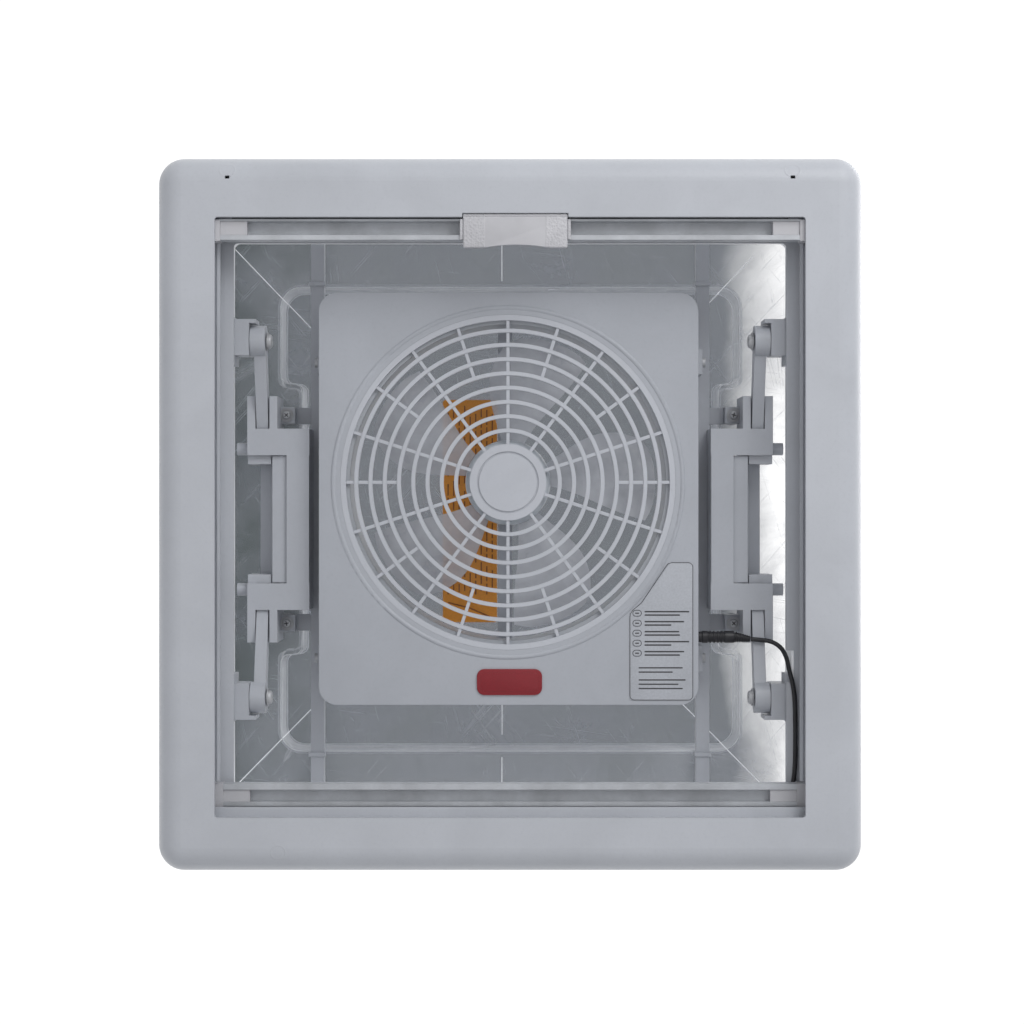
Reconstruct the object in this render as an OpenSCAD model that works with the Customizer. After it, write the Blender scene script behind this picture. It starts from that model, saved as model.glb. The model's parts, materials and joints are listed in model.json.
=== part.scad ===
// Caravan roof vent for a square roof cut-out. A room-side trim holds two roller blinds.
// An outside frame carries a clear dome, which rises on four arms and holds a 12 V fan.
// Z = 0 is the room face of the trim and +Z points out through the roof.

/* [Trim] */
// Outer width of the room-side trim, side to side
trim_w = 481.6; // [480:0.2:482]
// Outer length of the room-side trim
trim_l = 487.8; // [486:0.2:488.8]
// Depth of the trim from its room face to the ceiling
trim_depth = 36; // [36:1:37]
// Wall thickness of the trim
trim_wall = 2.5; // [2:0.1:2.7]
// Radius that rounds the outer edge of the trim
trim_round = 17.5; // [14:0.5:17.5]
// Width of the opening in the trim
opening_w = 401.2; // [400.4:0.2:401.6]
// Length of the opening in the trim
opening_l = 407.7; // [407.1:0.2:408.1]

/* [Outside frame] */
// Side of the square cut-out in the roof
cutout = 400; // [400:1:401]
// Thickness of the roof and its gasket
roof_t = 30; // [30:1:31]
// Width of the flange that lies on the roof
flange_w = 484; // [480:1:488]
// Length of the flange that lies on the roof
flange_l = 496; // [496:1:498]
// Radius of the roof screw holes
roof_hole_r = 2.25; // [2:0.05:2.5]

/* [Dome] */
// Outer side of the dome's skirt
dome_side = 450; // [446:1:452]
// Wall thickness of the dome
dome_wall = 3; // [2.5:0.25:3]
// Height of the dome's top above the trim face
dome_top = 135; // [133:1:140]

/* [Lift arms] */
// Length of an arm between its pivot and its pin
arm_len = 78; // [78:0.5:79]
// Distance of each arm pivot from the middle
pivot_y = 125; // [125:0.5:125.5]
// Height of the arm pivots
pivot_z = 50; // [49.5:0.5:50]
// Radius of the pivot screw
pivot_r = 3; // [2.5:0.1:3]
// Radius of the arm pins
pin_r = 3; // [2.5:0.1:3]

/* [Fan] */
// Width of the fan housing
fan_w = 266; // [262:1:266]
// Length of the fan housing
fan_l = 289; // [284:1:292]
// Height of the housing's room face
fan_front = 46; // [45:0.5:47]
// Outer radius of the grille
grille_r = 117.5; // [116:0.5:118]
// Spacing of the grille rings
ring_step = 10; // [9:0.5:10]
// Number of fan blades
blade_count = 5; // [3:1:7]
// Radius at the tips of the blades
blade_r = 104; // [98:1:107]

/* [Blinds] */
// Radius of each wound blind
roll_r = 9; // [8:0.5:9]
// Half length of the bars between their end caps
bar_half = 197.3; // [197:0.1:197.4]

/* [Power lead] */
// Diameter of the lead
lead_d = 3.2; // [2.6:0.2:3.2]

/* [Hidden] */
$fn = 48;
GAP = 0.3;
EPS = 0.01;
THROUGH = 600;

// Trim and opening
trim_y = -3.5;
trim_corner = 18;
opening_y = -1.55;
lip_h = 3;
lip_t = 2;
slot_x = 192;
slot_y = -232.5;

// Base plate on the ceiling
plate_t = 2;
plate_z = trim_depth - plate_t;
plate_inner = 384;

// Outside frame
skirt_t = 2.2;
skirt_half = cutout / 2 - 2;
wall_in = skirt_half - skirt_t;
flange_z = trim_depth + roof_t;
flange_t = 3;
flange_r = 30;
upstand_in = 208;
upstand_t = 3;
upstand_top = 92;
seal_top = 99.6;
hole_x = 229;
hole_y = 232;
hole_mid = 80;

// Dome
shoulder_z = 100;
skirt_bottom = 76;
dome_r = 36;
plateau_w = 339;
plateau_l = 342.6;
plateau_r = 18;
pocket_x = 154;
pocket_half = 95.5;
chamfer = 6;

// Lift rails
rail_in = 134.3;
rail_out = 144;
rail_z = 91;
rail_half = 205;
saddle_y = 170;
lug_z = 60;
lug_y1 = 45.3;
lug_y2 = 87.2;
floor_y = 64.2;
floor_t = 1.8;
slot_in = 170.3;
slot_out = 180.2;
lug_in = 164.7;
lug_out = 186;
lug_roof = 88;
step_y = 39.2;
boss_x = 160.7;
boss_y = 74.8;
boss_z = 84;
screw_r = 2;
screw_y = [-112, 99.2];
screw_z = 74;
side_screw_r = 1.6;
paddle_in = 166;
paddle_out = 168.5;
paddle_half = 44.8;

// Arms
pin_y = 50;
arm_angle = asin(sqrt(arm_len * arm_len - pow(pivot_y - pin_y, 2)) / arm_len);
pin_z = pivot_z + arm_len * sin(arm_angle);
pin_rise = 2.9;
pin_out = 31.9;
arm_in = 171.3;
arm_out = 179.6;
hub_out = 181.9;
hub_r = 11;
track_gap = 0.35;

// Blinds
fly_y1 = -204.5;
fly_y2 = -190.3;
fly_z1 = 3.6;
fly_z2 = 15.4;
net_z = 9.5;
dark_y1 = 181.8;
dark_y2 = 197;
dark_z1 = 18.9;
dark_z2 = 29.1;
cloth_z = 24;
cloth_t = 0.6;
fly_box = [-231, -206.5, 3.2];
dark_box = [203.8, 226, 3.4];
box_wall = 1.6;
box_half = 205;
fly_roll = [-218.75, net_z + roll_r];
dark_roll = [214.9, cloth_z - roll_r];
spigot_r = 3;
block_x = 179;
cap_x = 204.3;
handle_x = 3.6;
handle_w = 71;

// Fan
fan_x = -1;
fan_y = -14.5;
fan_r = 13;
fan_wall = 2.5;
fan_back = 88;
cover_t = 2;
grille_x = -1.5;
grille_y = -26;
hub_disc_r = 26.9;
ring_w = 2.8;
ring_first = 36.4;
ring_count = 8;
spoke_w = 2.3;
spoke_count = 10;
grille_t = 3.5;
bead_r = 2.1;
bead_rise = 0.7;
facet_x = 74.9;
facet_y = -158;
facet_turn = 19.5;
facet_tilt = -4;
duct_r = 111;
duct_t = 2.5;
motor_r = 24;
motor_z = 62;
strut_z = 84;
strut_x = -3.6;
strut_w = 10;
shaft_r = 2.5;

// Power lead
jack_y = 82.7;
jack_z = 52.9;
jack_r = 4.4;
plug_x = [134.8, 157.9];
lead_start = 169.5;
lead_z = 52.5;
run_z = 32;
block_end = 172;
block_y = 200.8;
LEAD = [
  [lead_start, 84.3, lead_z], [176, 84.8, lead_z], [182.9, 85.8, 52], [188, 88.3, 50.5],
  [191.4, 92, 47.5], [193.4, 97.5, 42.5], [194, 103, 37], [194.8, 108, 33.6],
  [196, 113.5, 32.1], [197.2, 121, run_z], [197.8, 132, run_z], [198, 150, run_z],
  [197.8, 168, run_z],
  [196.5, 182, run_z], [193.5, 191, run_z], [188, 198, run_z], [181, block_y, run_z],
  [block_end, block_y, run_z]
];
LEAD_SIDES = 8;

SIDES = [["left", -1], ["right", 1]];
ENDS = [["top", -1], ["bottom", 1]];

// ---------- shapes that repeat ----------

// A box between two values on each axis.
module box(x, y, z) {
  translate([x[0], y[0], z[0]]) cube([x[1] - x[0], y[1] - y[0], z[1] - z[0]]);
}

// A flat rectangle with rounded corners, centred.
module rounded(w, l, r) {
  square([w - 2 * r, l], center = true);
  square([w, l - 2 * r], center = true);
  for (x = [-1, 1], y = [-1, 1])
    translate([x * (w / 2 - r), y * (l / 2 - r)]) circle(r);
}

// A rectangular ring with rounded corners, standing on z.
module ring(outer, inner, r, z, h) {
  translate([0, 0, z]) linear_extrude(h) difference() {
    rounded(outer[0], outer[1], r);
    rounded(inner[0], inner[1], max(1, r - (outer[0] - inner[0]) / 2));
  }
}

// Mirrors what follows to a side of X and an end of Y.
module at_corner(sx, sy) {
  mirror([sx < 0 ? 1 : 0, 0, 0]) mirror([0, sy < 0 ? 1 : 0, 0]) children();
}

// A flat outline in Y and Z, swept from x1 to x2.
module along_x(x1, x2) {
  translate([x1, 0, 0]) rotate([90, 0, 90]) linear_extrude(x2 - x1) children();
}

// A round bar along X.
module rod_x(x1, x2, y, z, r) {
  translate([x1, y, z]) rotate([0, 90, 0]) cylinder(h = x2 - x1, r = r);
}

// ---------- trim and ceiling plate ----------

// The solid under a rounded edge: flat room face at the bottom, wall at the right.
module edge_solid(w, h, r) {
  intersection() {
    square([w, h]);
    union() {
      square([w - r, h]);
      translate([0, r]) square([w, h]);
      translate([w - r, r]) circle(r);
    }
  }
}

module trim_edge() {
  difference() {
    edge_solid(trim_corner, trim_depth, trim_round);
    translate([-EPS, trim_wall])
      edge_solid(trim_corner - trim_wall + EPS, trim_depth, trim_round - trim_wall);
  }
}

module interior_trim() {
  half_w = trim_w / 2 - trim_corner;
  half_l = trim_l / 2 - trim_corner;
  color("gainsboro") difference() {
    union() {
      translate([0, trim_y, 0]) {
        for (s = [0, 1]) mirror([s, 0, 0]) {
          translate([half_w, half_l, 0]) rotate([90, 0, 0])
            linear_extrude(2 * half_l) trim_edge();
          for (e = [0, 1]) mirror([0, e, 0])
            translate([half_w, half_l, 0]) rotate_extrude(angle = 90) trim_edge();
        }
        for (e = [0, 1]) mirror([0, e, 0])
          translate([-half_w, half_l, 0]) rotate([90, 0, 90])
            linear_extrude(2 * half_w) trim_edge();
        linear_extrude(trim_wall) square([2 * half_w, 2 * half_l], center = true);
      }
      translate([0, opening_y, 0]) linear_extrude(lip_h)
        rounded(opening_w + 2 * lip_t, opening_l + 2 * lip_t, 4);
    }
    translate([0, opening_y, -1]) linear_extrude(trim_depth)
      rounded(opening_w, opening_l, 2);
    // finger relief for the handle
    box([handle_x - handle_w / 2 - 0.5, handle_x + handle_w / 2 + 0.5],
        [fly_y1 - 3.5, fly_y1], [-1, lip_h + 1]);
    // release slots
    for (s = [-1, 1]) box([s * slot_x - 1.5, s * slot_x + 1.5], [slot_y - 1, slot_y + 1],
                          [-1, trim_wall + 1]);
  }
}

module base_plate() {
  screws = screw_places();
  color("gainsboro") difference() {
    translate([0, trim_y, plate_z]) linear_extrude(plate_t)
      rounded(trim_w - 2 * trim_wall, trim_l - 2 * trim_wall, trim_corner - trim_wall);
    translate([0, 0, plate_z - 1]) linear_extrude(plate_t + 2)
      rounded(plate_inner, plate_inner, 3);
    // notch that the power lead drops through
    box([plate_inner / 2 - 1, wall_in + 1.5], [91, 113], [plate_z - 1, trim_depth + 1]);
    for (p = screws) translate([p[0], p[1], plate_z - 1]) cylinder(h = plate_t + 2, r = 2);
  }
}

function screw_places() = concat(
  [for (x = [-1, 1], y = [-140, 0, 140]) [x * 218, y]],
  [for (x = [-110, 110], y = [-236.2, 230.6]) [x, y]]
);

module ceiling_screws() {
  color("silver") for (p = screw_places()) translate([p[0], p[1], 0]) {
    translate([0, 0, plate_z - 2.2]) cylinder(h = 2.2, r = 3.6);
    translate([0, 0, plate_z]) cylinder(h = 20, r = 2);
    translate([0, 0, plate_z + 20]) cylinder(h = 3, r1 = 2, r2 = 0.3);
  }
}

// ---------- blind channels and cassettes ----------

// The guide for the blinds along one side: the flyscreen runs below its middle flange.
module side_channel(s) {
  mid = fly_z2 + 0.5;
  color("gainsboro") at_corner(s, 1) {
    box([206.5, 208.5], [-205, 203], [trim_wall + GAP, plate_z]);
    difference() {
      box([199, 207], [-205, dark_y1 - 2.3], [mid, mid + 2.4]);
      box([201.4, 203.2], [-206, dark_y1], [mid - 1, mid + 1.4]);
    }
    box([201.5, 207], [-205, 203], [dark_z2 + 0.5, dark_z2 + 2.1]);
  }
}

module cassette(b, slot, slot_y0) {
  difference() {
    box([-box_half, box_half], [b[0], b[1]], [b[2], plate_z]);
    box([-THROUGH, THROUGH], [b[0] + box_wall, b[1] - box_wall],
        [b[2] + box_wall, plate_z - box_wall]);
    box([-box_half + 10, box_half - 10], [slot_y0 - 3, slot_y0 + 3], [slot - 1.5, slot + 1.5]);
  }
}

module flyscreen_cassette() {
  color("gainsboro") cassette(fly_box, net_z, fly_box[1]);
}

module blackout_cassette() {
  color("gainsboro") {
    cassette(dark_box, cloth_z, dark_box[0]);
    box([-box_half, box_half], [dark_y2 - 0.3, dark_box[0] + 1], [12, 14]);
  }
}

module end_cap(b, roll) {
  box([box_half, box_half + 1.3], [b[0], b[1]], [b[2], plate_z]);
  rod_x(192, box_half, roll[0], roll[1], spigot_r);
}

module cassette_end_caps() {
  color("gainsboro") for (s = [-1, 1]) at_corner(s, 1) {
    end_cap(fly_box, fly_roll);
    end_cap(dark_box, dark_roll);
  }
}

module roller(roll) {
  difference() {
    rod_x(-197, 197, roll[0], roll[1], roll_r);
    for (s = [-1, 1]) at_corner(s, 1)
      rod_x(191, 198, roll[0], roll[1], spigot_r + 0.06);
  }
}

module flyscreen_roller() {
  color("dimgray") roller(fly_roll);
}

module blackout_roller() {
  color("lightgray") roller(dark_roll);
}

// ---------- blind bars ----------

// An open channel in Y and Z: a floor with a flange at each edge.
module bar_outline(y1, y2, z1, z2, lip1, lip2, floor_z) {
  translate([y1, z1]) square([lip1, z2 - z1]);
  translate([y2 - lip2, z1]) square([lip2, z2 - z1]);
  translate([y1, floor_z]) square([y2 - y1, 1.6]);
}

module flyscreen_bar() {
  color("silver") along_x(-bar_half, bar_half)
    bar_outline(fly_y1, fly_y2, fly_z1, fly_z2, 1.4, 3.3, 12);
}

module blackout_bar() {
  color("silver") along_x(-bar_half, bar_half)
    bar_outline(dark_y1, dark_y2, dark_z1, dark_z2, 4, 2.8, 26);
}

// The moulded ends of a bar: a block in its groove and a cap that runs in the channel.
module bar_ends(y, z, block_y, block_z) {
  color("white") for (s = [-1, 1]) at_corner(s, 1) {
    box([block_x, bar_half], block_y, block_z);
    box([bar_half, cap_x], y, z);
  }
}

module flyscreen_bar_ends() {
  bar_ends([fly_y1 + 0.4, fly_y2 + 0.8], [fly_z1 - 0.3, fly_z2],
           [fly_y1 + 1.4, fly_y2 - 3.3], [fly_z1 + 1, 12]);
}

module blackout_bar_ends() {
  bar_ends([dark_y1 - 0.4, dark_y2 + 0.5], [dark_z1, dark_z2],
           [dark_y1 + 4, dark_y2 - 2.8], [dark_z1 + 1, 26]);
}

module flyscreen_handle() {
  x1 = handle_x - handle_w / 2;
  x2 = handle_x + handle_w / 2;
  front = -184.7;
  arch_r = 123.7;
  color("white") difference() {
    union() {
      box([x1, x2], [fly_y1 - 3.1, fly_y1 - 1.3], [1, 2.8]);
      box([x1, x2], [fly_y1 - 1.3, front], [1, fly_z1]);
      box([x1, x2], [fly_y2, fly_y2 + 3.2], [fly_z1 - EPS, 13]);
      box([x1, x2], [fly_y1 + 1.4, fly_y2 - 3.3], [fly_z1 - EPS, 12]);
    }
    translate([handle_x + 0.8, front - 2.1 + arch_r, -1]) cylinder(h = 20, r = arch_r, $fn = 180);
  }
}

module flyscreen_net() {
  color("dimgray") box([-190, 190], [-214, fly_y1], [net_z - cloth_t / 2, net_z + cloth_t / 2]);
}

module blackout_cloth() {
  color("silver") box([-190, 190], [dark_y2, 210], [cloth_z - cloth_t / 2, cloth_z + cloth_t / 2]);
}

// ---------- outside frame ----------

module roof_frame() {
  skirt_in = 2 * wall_in;
  color("whitesmoke") difference() {
    union() {
      ring([2 * skirt_half, 2 * skirt_half], [skirt_in, skirt_in], 8, trim_depth,
           flange_z - trim_depth + EPS);
      ring([flange_w, flange_l], [skirt_in, skirt_in], flange_r, flange_z, flange_t);
      ring([2 * (upstand_in + upstand_t), 2 * (upstand_in + upstand_t)],
           [2 * upstand_in, 2 * upstand_in], 20, flange_z + flange_t - EPS,
           upstand_top - flange_z - flange_t + EPS);
      // drip rib near the outer edge
      ring([flange_w - 6, flange_l - 6], [flange_w - 10, flange_l - 10], flange_r - 3,
           flange_z + flange_t - EPS, 1.5);
    }
    // the flange stays open inside the skirt, whose corners are tighter
    translate([0, 0, flange_z - 1]) linear_extrude(flange_t + 2)
      rounded(skirt_in, skirt_in, 8 - skirt_t);
    for (x = [-1, 1], y = [-1, 1]) {
      translate([x * hole_x, y * hole_y, flange_z - 1]) cylinder(h = flange_t + 2, r = roof_hole_r);
      translate([x * hole_x, y * hole_mid, flange_z - 1]) cylinder(h = flange_t + 2, r = roof_hole_r);
      translate([x * hole_mid, y * hole_y, flange_z - 1]) cylinder(h = flange_t + 2, r = roof_hole_r);
    }
  }
}

module roof_gasket() {
  color("dimgray") ring([448, 448], [404, 404], 14, flange_z - 2, 2);
}

module dome_seal() {
  color("dimgray") ring([2 * (upstand_in + 4.5), 2 * (upstand_in + 4.5)],
                        [2 * (upstand_in - 1.5), 2 * (upstand_in - 1.5)], 21,
                        upstand_top, seal_top - upstand_top);
}

// ---------- dome ----------

// The raised middle of the dome, with a pocket at each side where the rails are screwed on.
module plateau_outline(inset) {
  difference() {
    rounded(plateau_w - 2 * inset, plateau_l - 2 * inset, plateau_r - inset);
    for (s = [-1, 1])
      translate([s * (pocket_x - inset + 30), 0])
        square([60, 2 * (pocket_half + inset)], center = true);
  }
}

// A wide bar with both upper edges bevelled; two of them crossed bevel the plateau's edges.
module bevelled_bar(half, top) {
  rotate([90, 0, 0]) translate([0, 0, -THROUGH / 2]) linear_extrude(THROUGH)
    polygon([[-half, 0], [half, 0], [half, top - chamfer], [half - chamfer, top],
             [chamfer - half, top], [-half, top - chamfer]]);
}

module plateau(inset) {
  top = dome_top - inset;
  intersection() {
    translate([0, 0, shoulder_z - inset * 0.3]) linear_extrude(dome_top) plateau_outline(inset);
    bevelled_bar(plateau_w / 2 - inset, top);
    rotate([0, 0, 90]) bevelled_bar(plateau_l / 2 - inset, top);
  }
}

module dome() {
  color("lightcyan", 0.4) difference() {
    union() {
      translate([0, 0, skirt_bottom]) linear_extrude(shoulder_z + dome_wall - skirt_bottom)
        rounded(dome_side, dome_side, dome_r);
      plateau(0);
    }
    translate([0, 0, skirt_bottom - 1]) linear_extrude(shoulder_z - skirt_bottom + 1)
      rounded(dome_side - 2 * dome_wall, dome_side - 2 * dome_wall, dome_r - dome_wall);
    plateau(dome_wall);
    for (x = [-1, 1], y = [-1, 1])
      translate([x * boss_x, y * boss_y, shoulder_z - 1]) cylinder(h = dome_wall + 2, r = screw_r);
  }
}

module dome_screws() {
  color("silver") for (x = [-1, 1], y = [-1, 1]) translate([x * boss_x, y * boss_y, 0]) {
    translate([0, 0, boss_z - 2.4]) cylinder(h = 2.4, r = 3.7);
    translate([0, 0, boss_z]) cylinder(h = 106 - boss_z, r = screw_r);
  }
}

module dome_screw_caps() {
  cap_z = shoulder_z + dome_wall;
  color("gray") for (x = [-1, 1], y = [-1, 1]) translate([x * boss_x, y * boss_y, cap_z])
    difference() {
      union() {
        cylinder(h = 1.2, r = 6.5);
        cylinder(h = 6, r = 4.6);
      }
      translate([0, 0, -1]) cylinder(h = 107 - cap_z, r = screw_r);
    }
}

// ---------- lift rails ----------

// Half of a lug: two prongs with the arm between them, and a track for the arm's pin.
module lug() {
  difference() {
    union() {
      box([slot_out, lug_out], [lug_y1, lug_y2], [lug_z, lug_roof + 3]);
      box([lug_in, slot_in], [lug_y1, lug_y2], [lug_z, shoulder_z]);
      box([lug_in, lug_out], [step_y, lug_y2], [lug_roof, lug_roof + 3]);
      box([rail_out - 2, lug_out], [lug_y1, floor_y], [lug_z, lug_z + floor_t]);
      box([169.4, lug_out], [step_y, lug_y1 + 1], [lug_z + 4, lug_z + 6]);
      box([169.4, lug_out], [step_y, step_y + 2.2], [lug_z + 4, lug_roof + 1]);
      box([boss_x - 6, boss_x + 6], [boss_y - 6, boss_y + 6], [boss_z, shoulder_z]);
      box([rail_out - 1, boss_x], [boss_y - 6, boss_y + 6], [shoulder_z - 4, shoulder_z]);
      box([rail_out - 1, lug_in + 1], [floor_y - 2, floor_y], [lug_z, shoulder_z - 4]);
    }
    box([slot_out - 1, lug_out + 1], [pin_y - pin_r - track_gap, pin_y + pin_out + pin_r + track_gap],
        [pin_z - pin_r - track_gap, pin_z + pin_rise + pin_r + track_gap]);
    translate([boss_x, boss_y, boss_z - 1]) cylinder(h = 30, r = screw_r);
  }
}

module lift_rail(s) {
  fan_side = s > 0 ? fan_x + fan_w / 2 : fan_w / 2 - fan_x;
  color("gainsboro") at_corner(s, 1) difference() {
    union() {
      difference() {
        box([rail_in, rail_out], [-rail_half, rail_half], [rail_z, shoulder_z]);
        box([rail_in + 2.7, rail_out - 2.7], [-THROUGH, THROUGH], [rail_z + 2.5, shoulder_z + 1]);
      }
      box([rail_out - 1.7, rail_out + 2.5], [-floor_y, floor_y], [lug_z, shoulder_z]);
      box([rail_out - 1.7, 158.2], [-lug_y1 - 1, lug_y1 + 1], [lug_z, lug_z + 2]);
      box([lug_in, 180], [-step_y - 1, step_y + 1], [lug_roof, lug_roof + 3]);
      for (e = [-1, 1]) {
        at_corner(1, e) lug();
        box([rail_out + 1, 160], [e * 30 - 1, e * 30 + 1], [lug_z + 5, lug_roof + 2]);
      }
      for (y = screw_y) box([fan_side, rail_in + 2.5], [y - 9, y + 9], [screw_z - 7, rail_z + 1]);
      for (y = [-saddle_y, saddle_y])
        box([rail_in - 1, rail_out + 1.5], [y - 1.5, y + 1.5], [rail_z - 1.2, rail_z + 2]);
    }
    for (y = screw_y) rod_x(fan_side - 1, rail_in + 5, y, screw_z, side_screw_r);
  }
}

module grip_paddle(s) {
  color("gainsboro") at_corner(s, 1) {
    box([157, paddle_out], [-paddle_half, paddle_half], [lug_z + 2.4, lug_z + 4.4]);
    box([paddle_in, paddle_out], [-paddle_half, paddle_half], [lug_z + 4, lug_roof - 3]);
  }
}

module paddle_springs(s) {
  color("silver") at_corner(s, 1) for (y = [-16, 16])
    rod_x(rail_out + 2.5, paddle_in, y, 75, 2.8);
}

// ---------- arms ----------

module arm_bracket(sx, sy) {
  color("gainsboro") at_corner(sx, sy) difference() {
    union() {
      box([192.2, wall_in], [108, 141], [38, 62]);
      box([hub_out + GAP, 192.3], [114.5, 139.8], [39, 61]);
      box([177.5, hub_out + 1], [pivot_y + hub_r + 1, 139.8], [39, 61]);
    }
    rod_x(hub_out - 1, 193.5, pivot_y, pivot_z, pivot_r);
  }
}

module pivot_screws() {
  color("silver") for (x = [-1, 1], y = [-1, 1]) at_corner(x, y) {
    rod_x(170.9, 193.5, pivot_y, pivot_z, pivot_r);
    rod_x(170, 170.95, pivot_y, pivot_z, 6.3);
    rod_x(167, 170, pivot_y, pivot_z, 5);
  }
}

module arm(sx, sy) {
  root_w = 6.5;
  tip_w = 4.4;
  color("gainsboro") at_corner(sx, sy) difference() {
    union() {
      rod_x(arm_in, hub_out, pivot_y, pivot_z, hub_r);
      rod_x(arm_in, arm_out, pin_y, pin_z, 5);
      along_x(arm_in, arm_out)
        translate([pivot_y, pivot_z]) rotate(180 - arm_angle)
          polygon([[0, root_w], [arm_len, tip_w], [arm_len, -tip_w], [0, -root_w]]);
    }
    rod_x(arm_in - 1, hub_out + 1, pivot_y, pivot_z, pivot_r + 0.06);
    rod_x(arm_in - 1, arm_out + 1, pin_y, pin_z, pin_r);
  }
}

module arm_pin(sx, sy) {
  color("silver") at_corner(sx, sy) {
    rod_x(arm_in, lug_out + 0.5, pin_y, pin_z, pin_r);
    rod_x(lug_out + 0.4, 194.3, pin_y, pin_z, 4.4);
  }
}

// ---------- fan ----------

module housing_outline(inset) {
  translate([fan_x, fan_y]) rounded(fan_w - 2 * inset, fan_l - 2 * inset, fan_r - inset);
}

module at_fan(z) {
  translate([grille_x, grille_y, z]) children();
}

module fan_housing() {
  color("gainsboro") difference() {
    union() {
      translate([0, 0, fan_front]) linear_extrude(fan_back - fan_front) housing_outline(0);
      // bead round the grille
      intersection() {
        at_fan(fan_front + bead_r - bead_rise) rotate_extrude()
          translate([grille_r + 5.1, 0]) circle(bead_r);
        at_fan(fan_front - 2) cylinder(h = 4, r = grille_r + 10);
      }
    }
    // one corner slopes back beyond a straight crease
    translate([facet_x, facet_y, fan_front]) rotate([0, 0, facet_turn]) rotate([facet_tilt, 0, 0])
      translate([-10, -40, -20]) cube([90, 40, 20]);
    translate([0, 0, fan_front + fan_wall]) linear_extrude(fan_back) housing_outline(fan_wall);
    at_fan(fan_front - 2) {
      cylinder(h = 10, r = grille_r);
      cylinder(h = 2, r = grille_r + 3);
    }
    for (y = screw_y) rod_x(-THROUGH / 2, THROUGH / 2, y, screw_z, side_screw_r);
    rod_x(fan_x + fan_w / 2 - 10, fan_x + fan_w / 2 + 10, jack_y, jack_z, jack_r - 0.6);
  }
}

module fan_back_cover() {
  color("gainsboro") translate([0, 0, fan_back]) difference() {
    linear_extrude(cover_t) housing_outline(0);
    at_fan(-1) cylinder(h = cover_t + 2, r = duct_r);
  }
}

module fan_duct() {
  low = fan_front + grille_t;
  inside = fan_front + fan_wall;
  color("gray") difference() {
    union() {
      at_fan(low) cylinder(h = fan_back - low, r = duct_r + duct_t);
      at_fan(low) cylinder(h = 1.2, r = grille_r + 6);
      at_fan(inside) difference() {
        cylinder(h = low - inside + EPS, r = grille_r + 6);
        translate([0, 0, -1]) cylinder(h = low - inside + 1, r = grille_r);
      }
    }
    at_fan(low - 1) cylinder(h = fan_back, r = duct_r);
  }
}

module fan_grille() {
  color("gainsboro") at_fan(fan_front) {
    difference() {
      cylinder(h = 2.4, r = hub_disc_r);
      translate([0, 0, -1]) difference() {
        cylinder(h = 1.8, r = 21.6);
        cylinder(h = 1.8, r = 20.4);
      }
    }
    for (k = [0 : ring_count - 1]) difference() {
      cylinder(h = grille_t, r = ring_first + k * ring_step + ring_w / 2);
      translate([0, 0, -1]) cylinder(h = grille_t + 2, r = ring_first + k * ring_step - ring_w / 2);
    }
    difference() {
      cylinder(h = grille_t, r = grille_r);
      translate([0, 0, -1]) cylinder(h = grille_t + 2, r = grille_r - 4);
    }
    for (k = [0 : spoke_count - 1]) rotate(k * 360 / spoke_count + 90) {
      translate([hub_disc_r - 2, -spoke_w / 2, 0.6])
        cube([grille_r - 1 - hub_disc_r, spoke_w, grille_t - 0.8]);
      rotate(180 / spoke_count) translate([ring_first + 4 * ring_step, -spoke_w / 2, 0.6])
        cube([grille_r - 3 - ring_first - 4 * ring_step, spoke_w, grille_t - 0.8]);
    }
  }
}

module fan_motor() {
  color("dimgray") at_fan(motor_z) difference() {
    union() {
      cylinder(h = 22, r = motor_r);
      cylinder(h = 3, r = motor_r + 1.5);
    }
    translate([0, 0, -1]) cylinder(h = 10, r = shaft_r + 0.06);
  }
}

module motor_strut() {
  color("gainsboro") difference() {
    intersection() {
      box([strut_x - strut_w / 2, strut_x + strut_w / 2], [grille_y - 120, grille_y + 120],
          [strut_z, fan_back]);
      at_fan(strut_z) cylinder(h = 10, r = duct_r);
    }
    box([strut_x - 2, strut_x + 2], [grille_y - 100, grille_y + 100], [fan_back - 1.5, fan_back + 1]);
  }
}

module rotor_shaft() {
  color("silver") at_fan(54) cylinder(h = 16, r = shaft_r);
}

// One pitched blade, wider at its tip, along +X.
module blade() {
  pitch = 18;
  translate([0, 0, 62.5]) rotate([pitch, 0, 0]) linear_extrude(1.8, center = true)
    intersection() {
      polygon([[24, -13], [50, -24], [blade_r, -27], [blade_r + 5, 0], [blade_r, 29],
               [60, 26], [24, 13]]);
      circle(blade_r);
    }
}

module fan_rotor() {
  color("lightsteelblue") at_fan(0) difference() {
    union() {
      for (k = [0 : blade_count - 1]) rotate(-11 - k * 360 / blade_count) blade();
      translate([0, 0, 52]) cylinder(h = 20, r = 30);
    }
    translate([0, 0, 59]) cylinder(h = 20, r = 27.5);
    translate([0, 0, 54]) cylinder(h = 20, r = shaft_r);
  }
}

module housing_screws() {
  color("silver") for (s = [-1, 1], y = screw_y) at_corner(s, 1) {
    wall = s > 0 ? fan_x + fan_w / 2 : fan_w / 2 - fan_x;
    rod_x(wall - fan_wall, rail_in + 2.6, y, screw_z, side_screw_r);
    rod_x(rail_in + 2.5, rail_in + 5, y, screw_z, 3.5);
  }
}

module badge() {
  color("firebrick") translate([-0.4, 113.9, fan_front - 1.2]) linear_extrude(1.2)
    rounded(45.6, 18.2, 5);
}

module housing_label() {
  color("whitesmoke") translate([0, 0, fan_front - 0.4]) linear_extrude(0.4)
    polygon([[112, 30.3], [128, 30.3], [128, 126.5], [84, 126.5], [84, 65], [92.5, 58.5]]);
}

module dome_label() {
  top = dome_top - dome_wall;
  color("darkorange") box([-49.9, -9.8], [-88.3, 76.5], [top - 0.4, top]);
}

// ---------- power lead ----------

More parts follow.
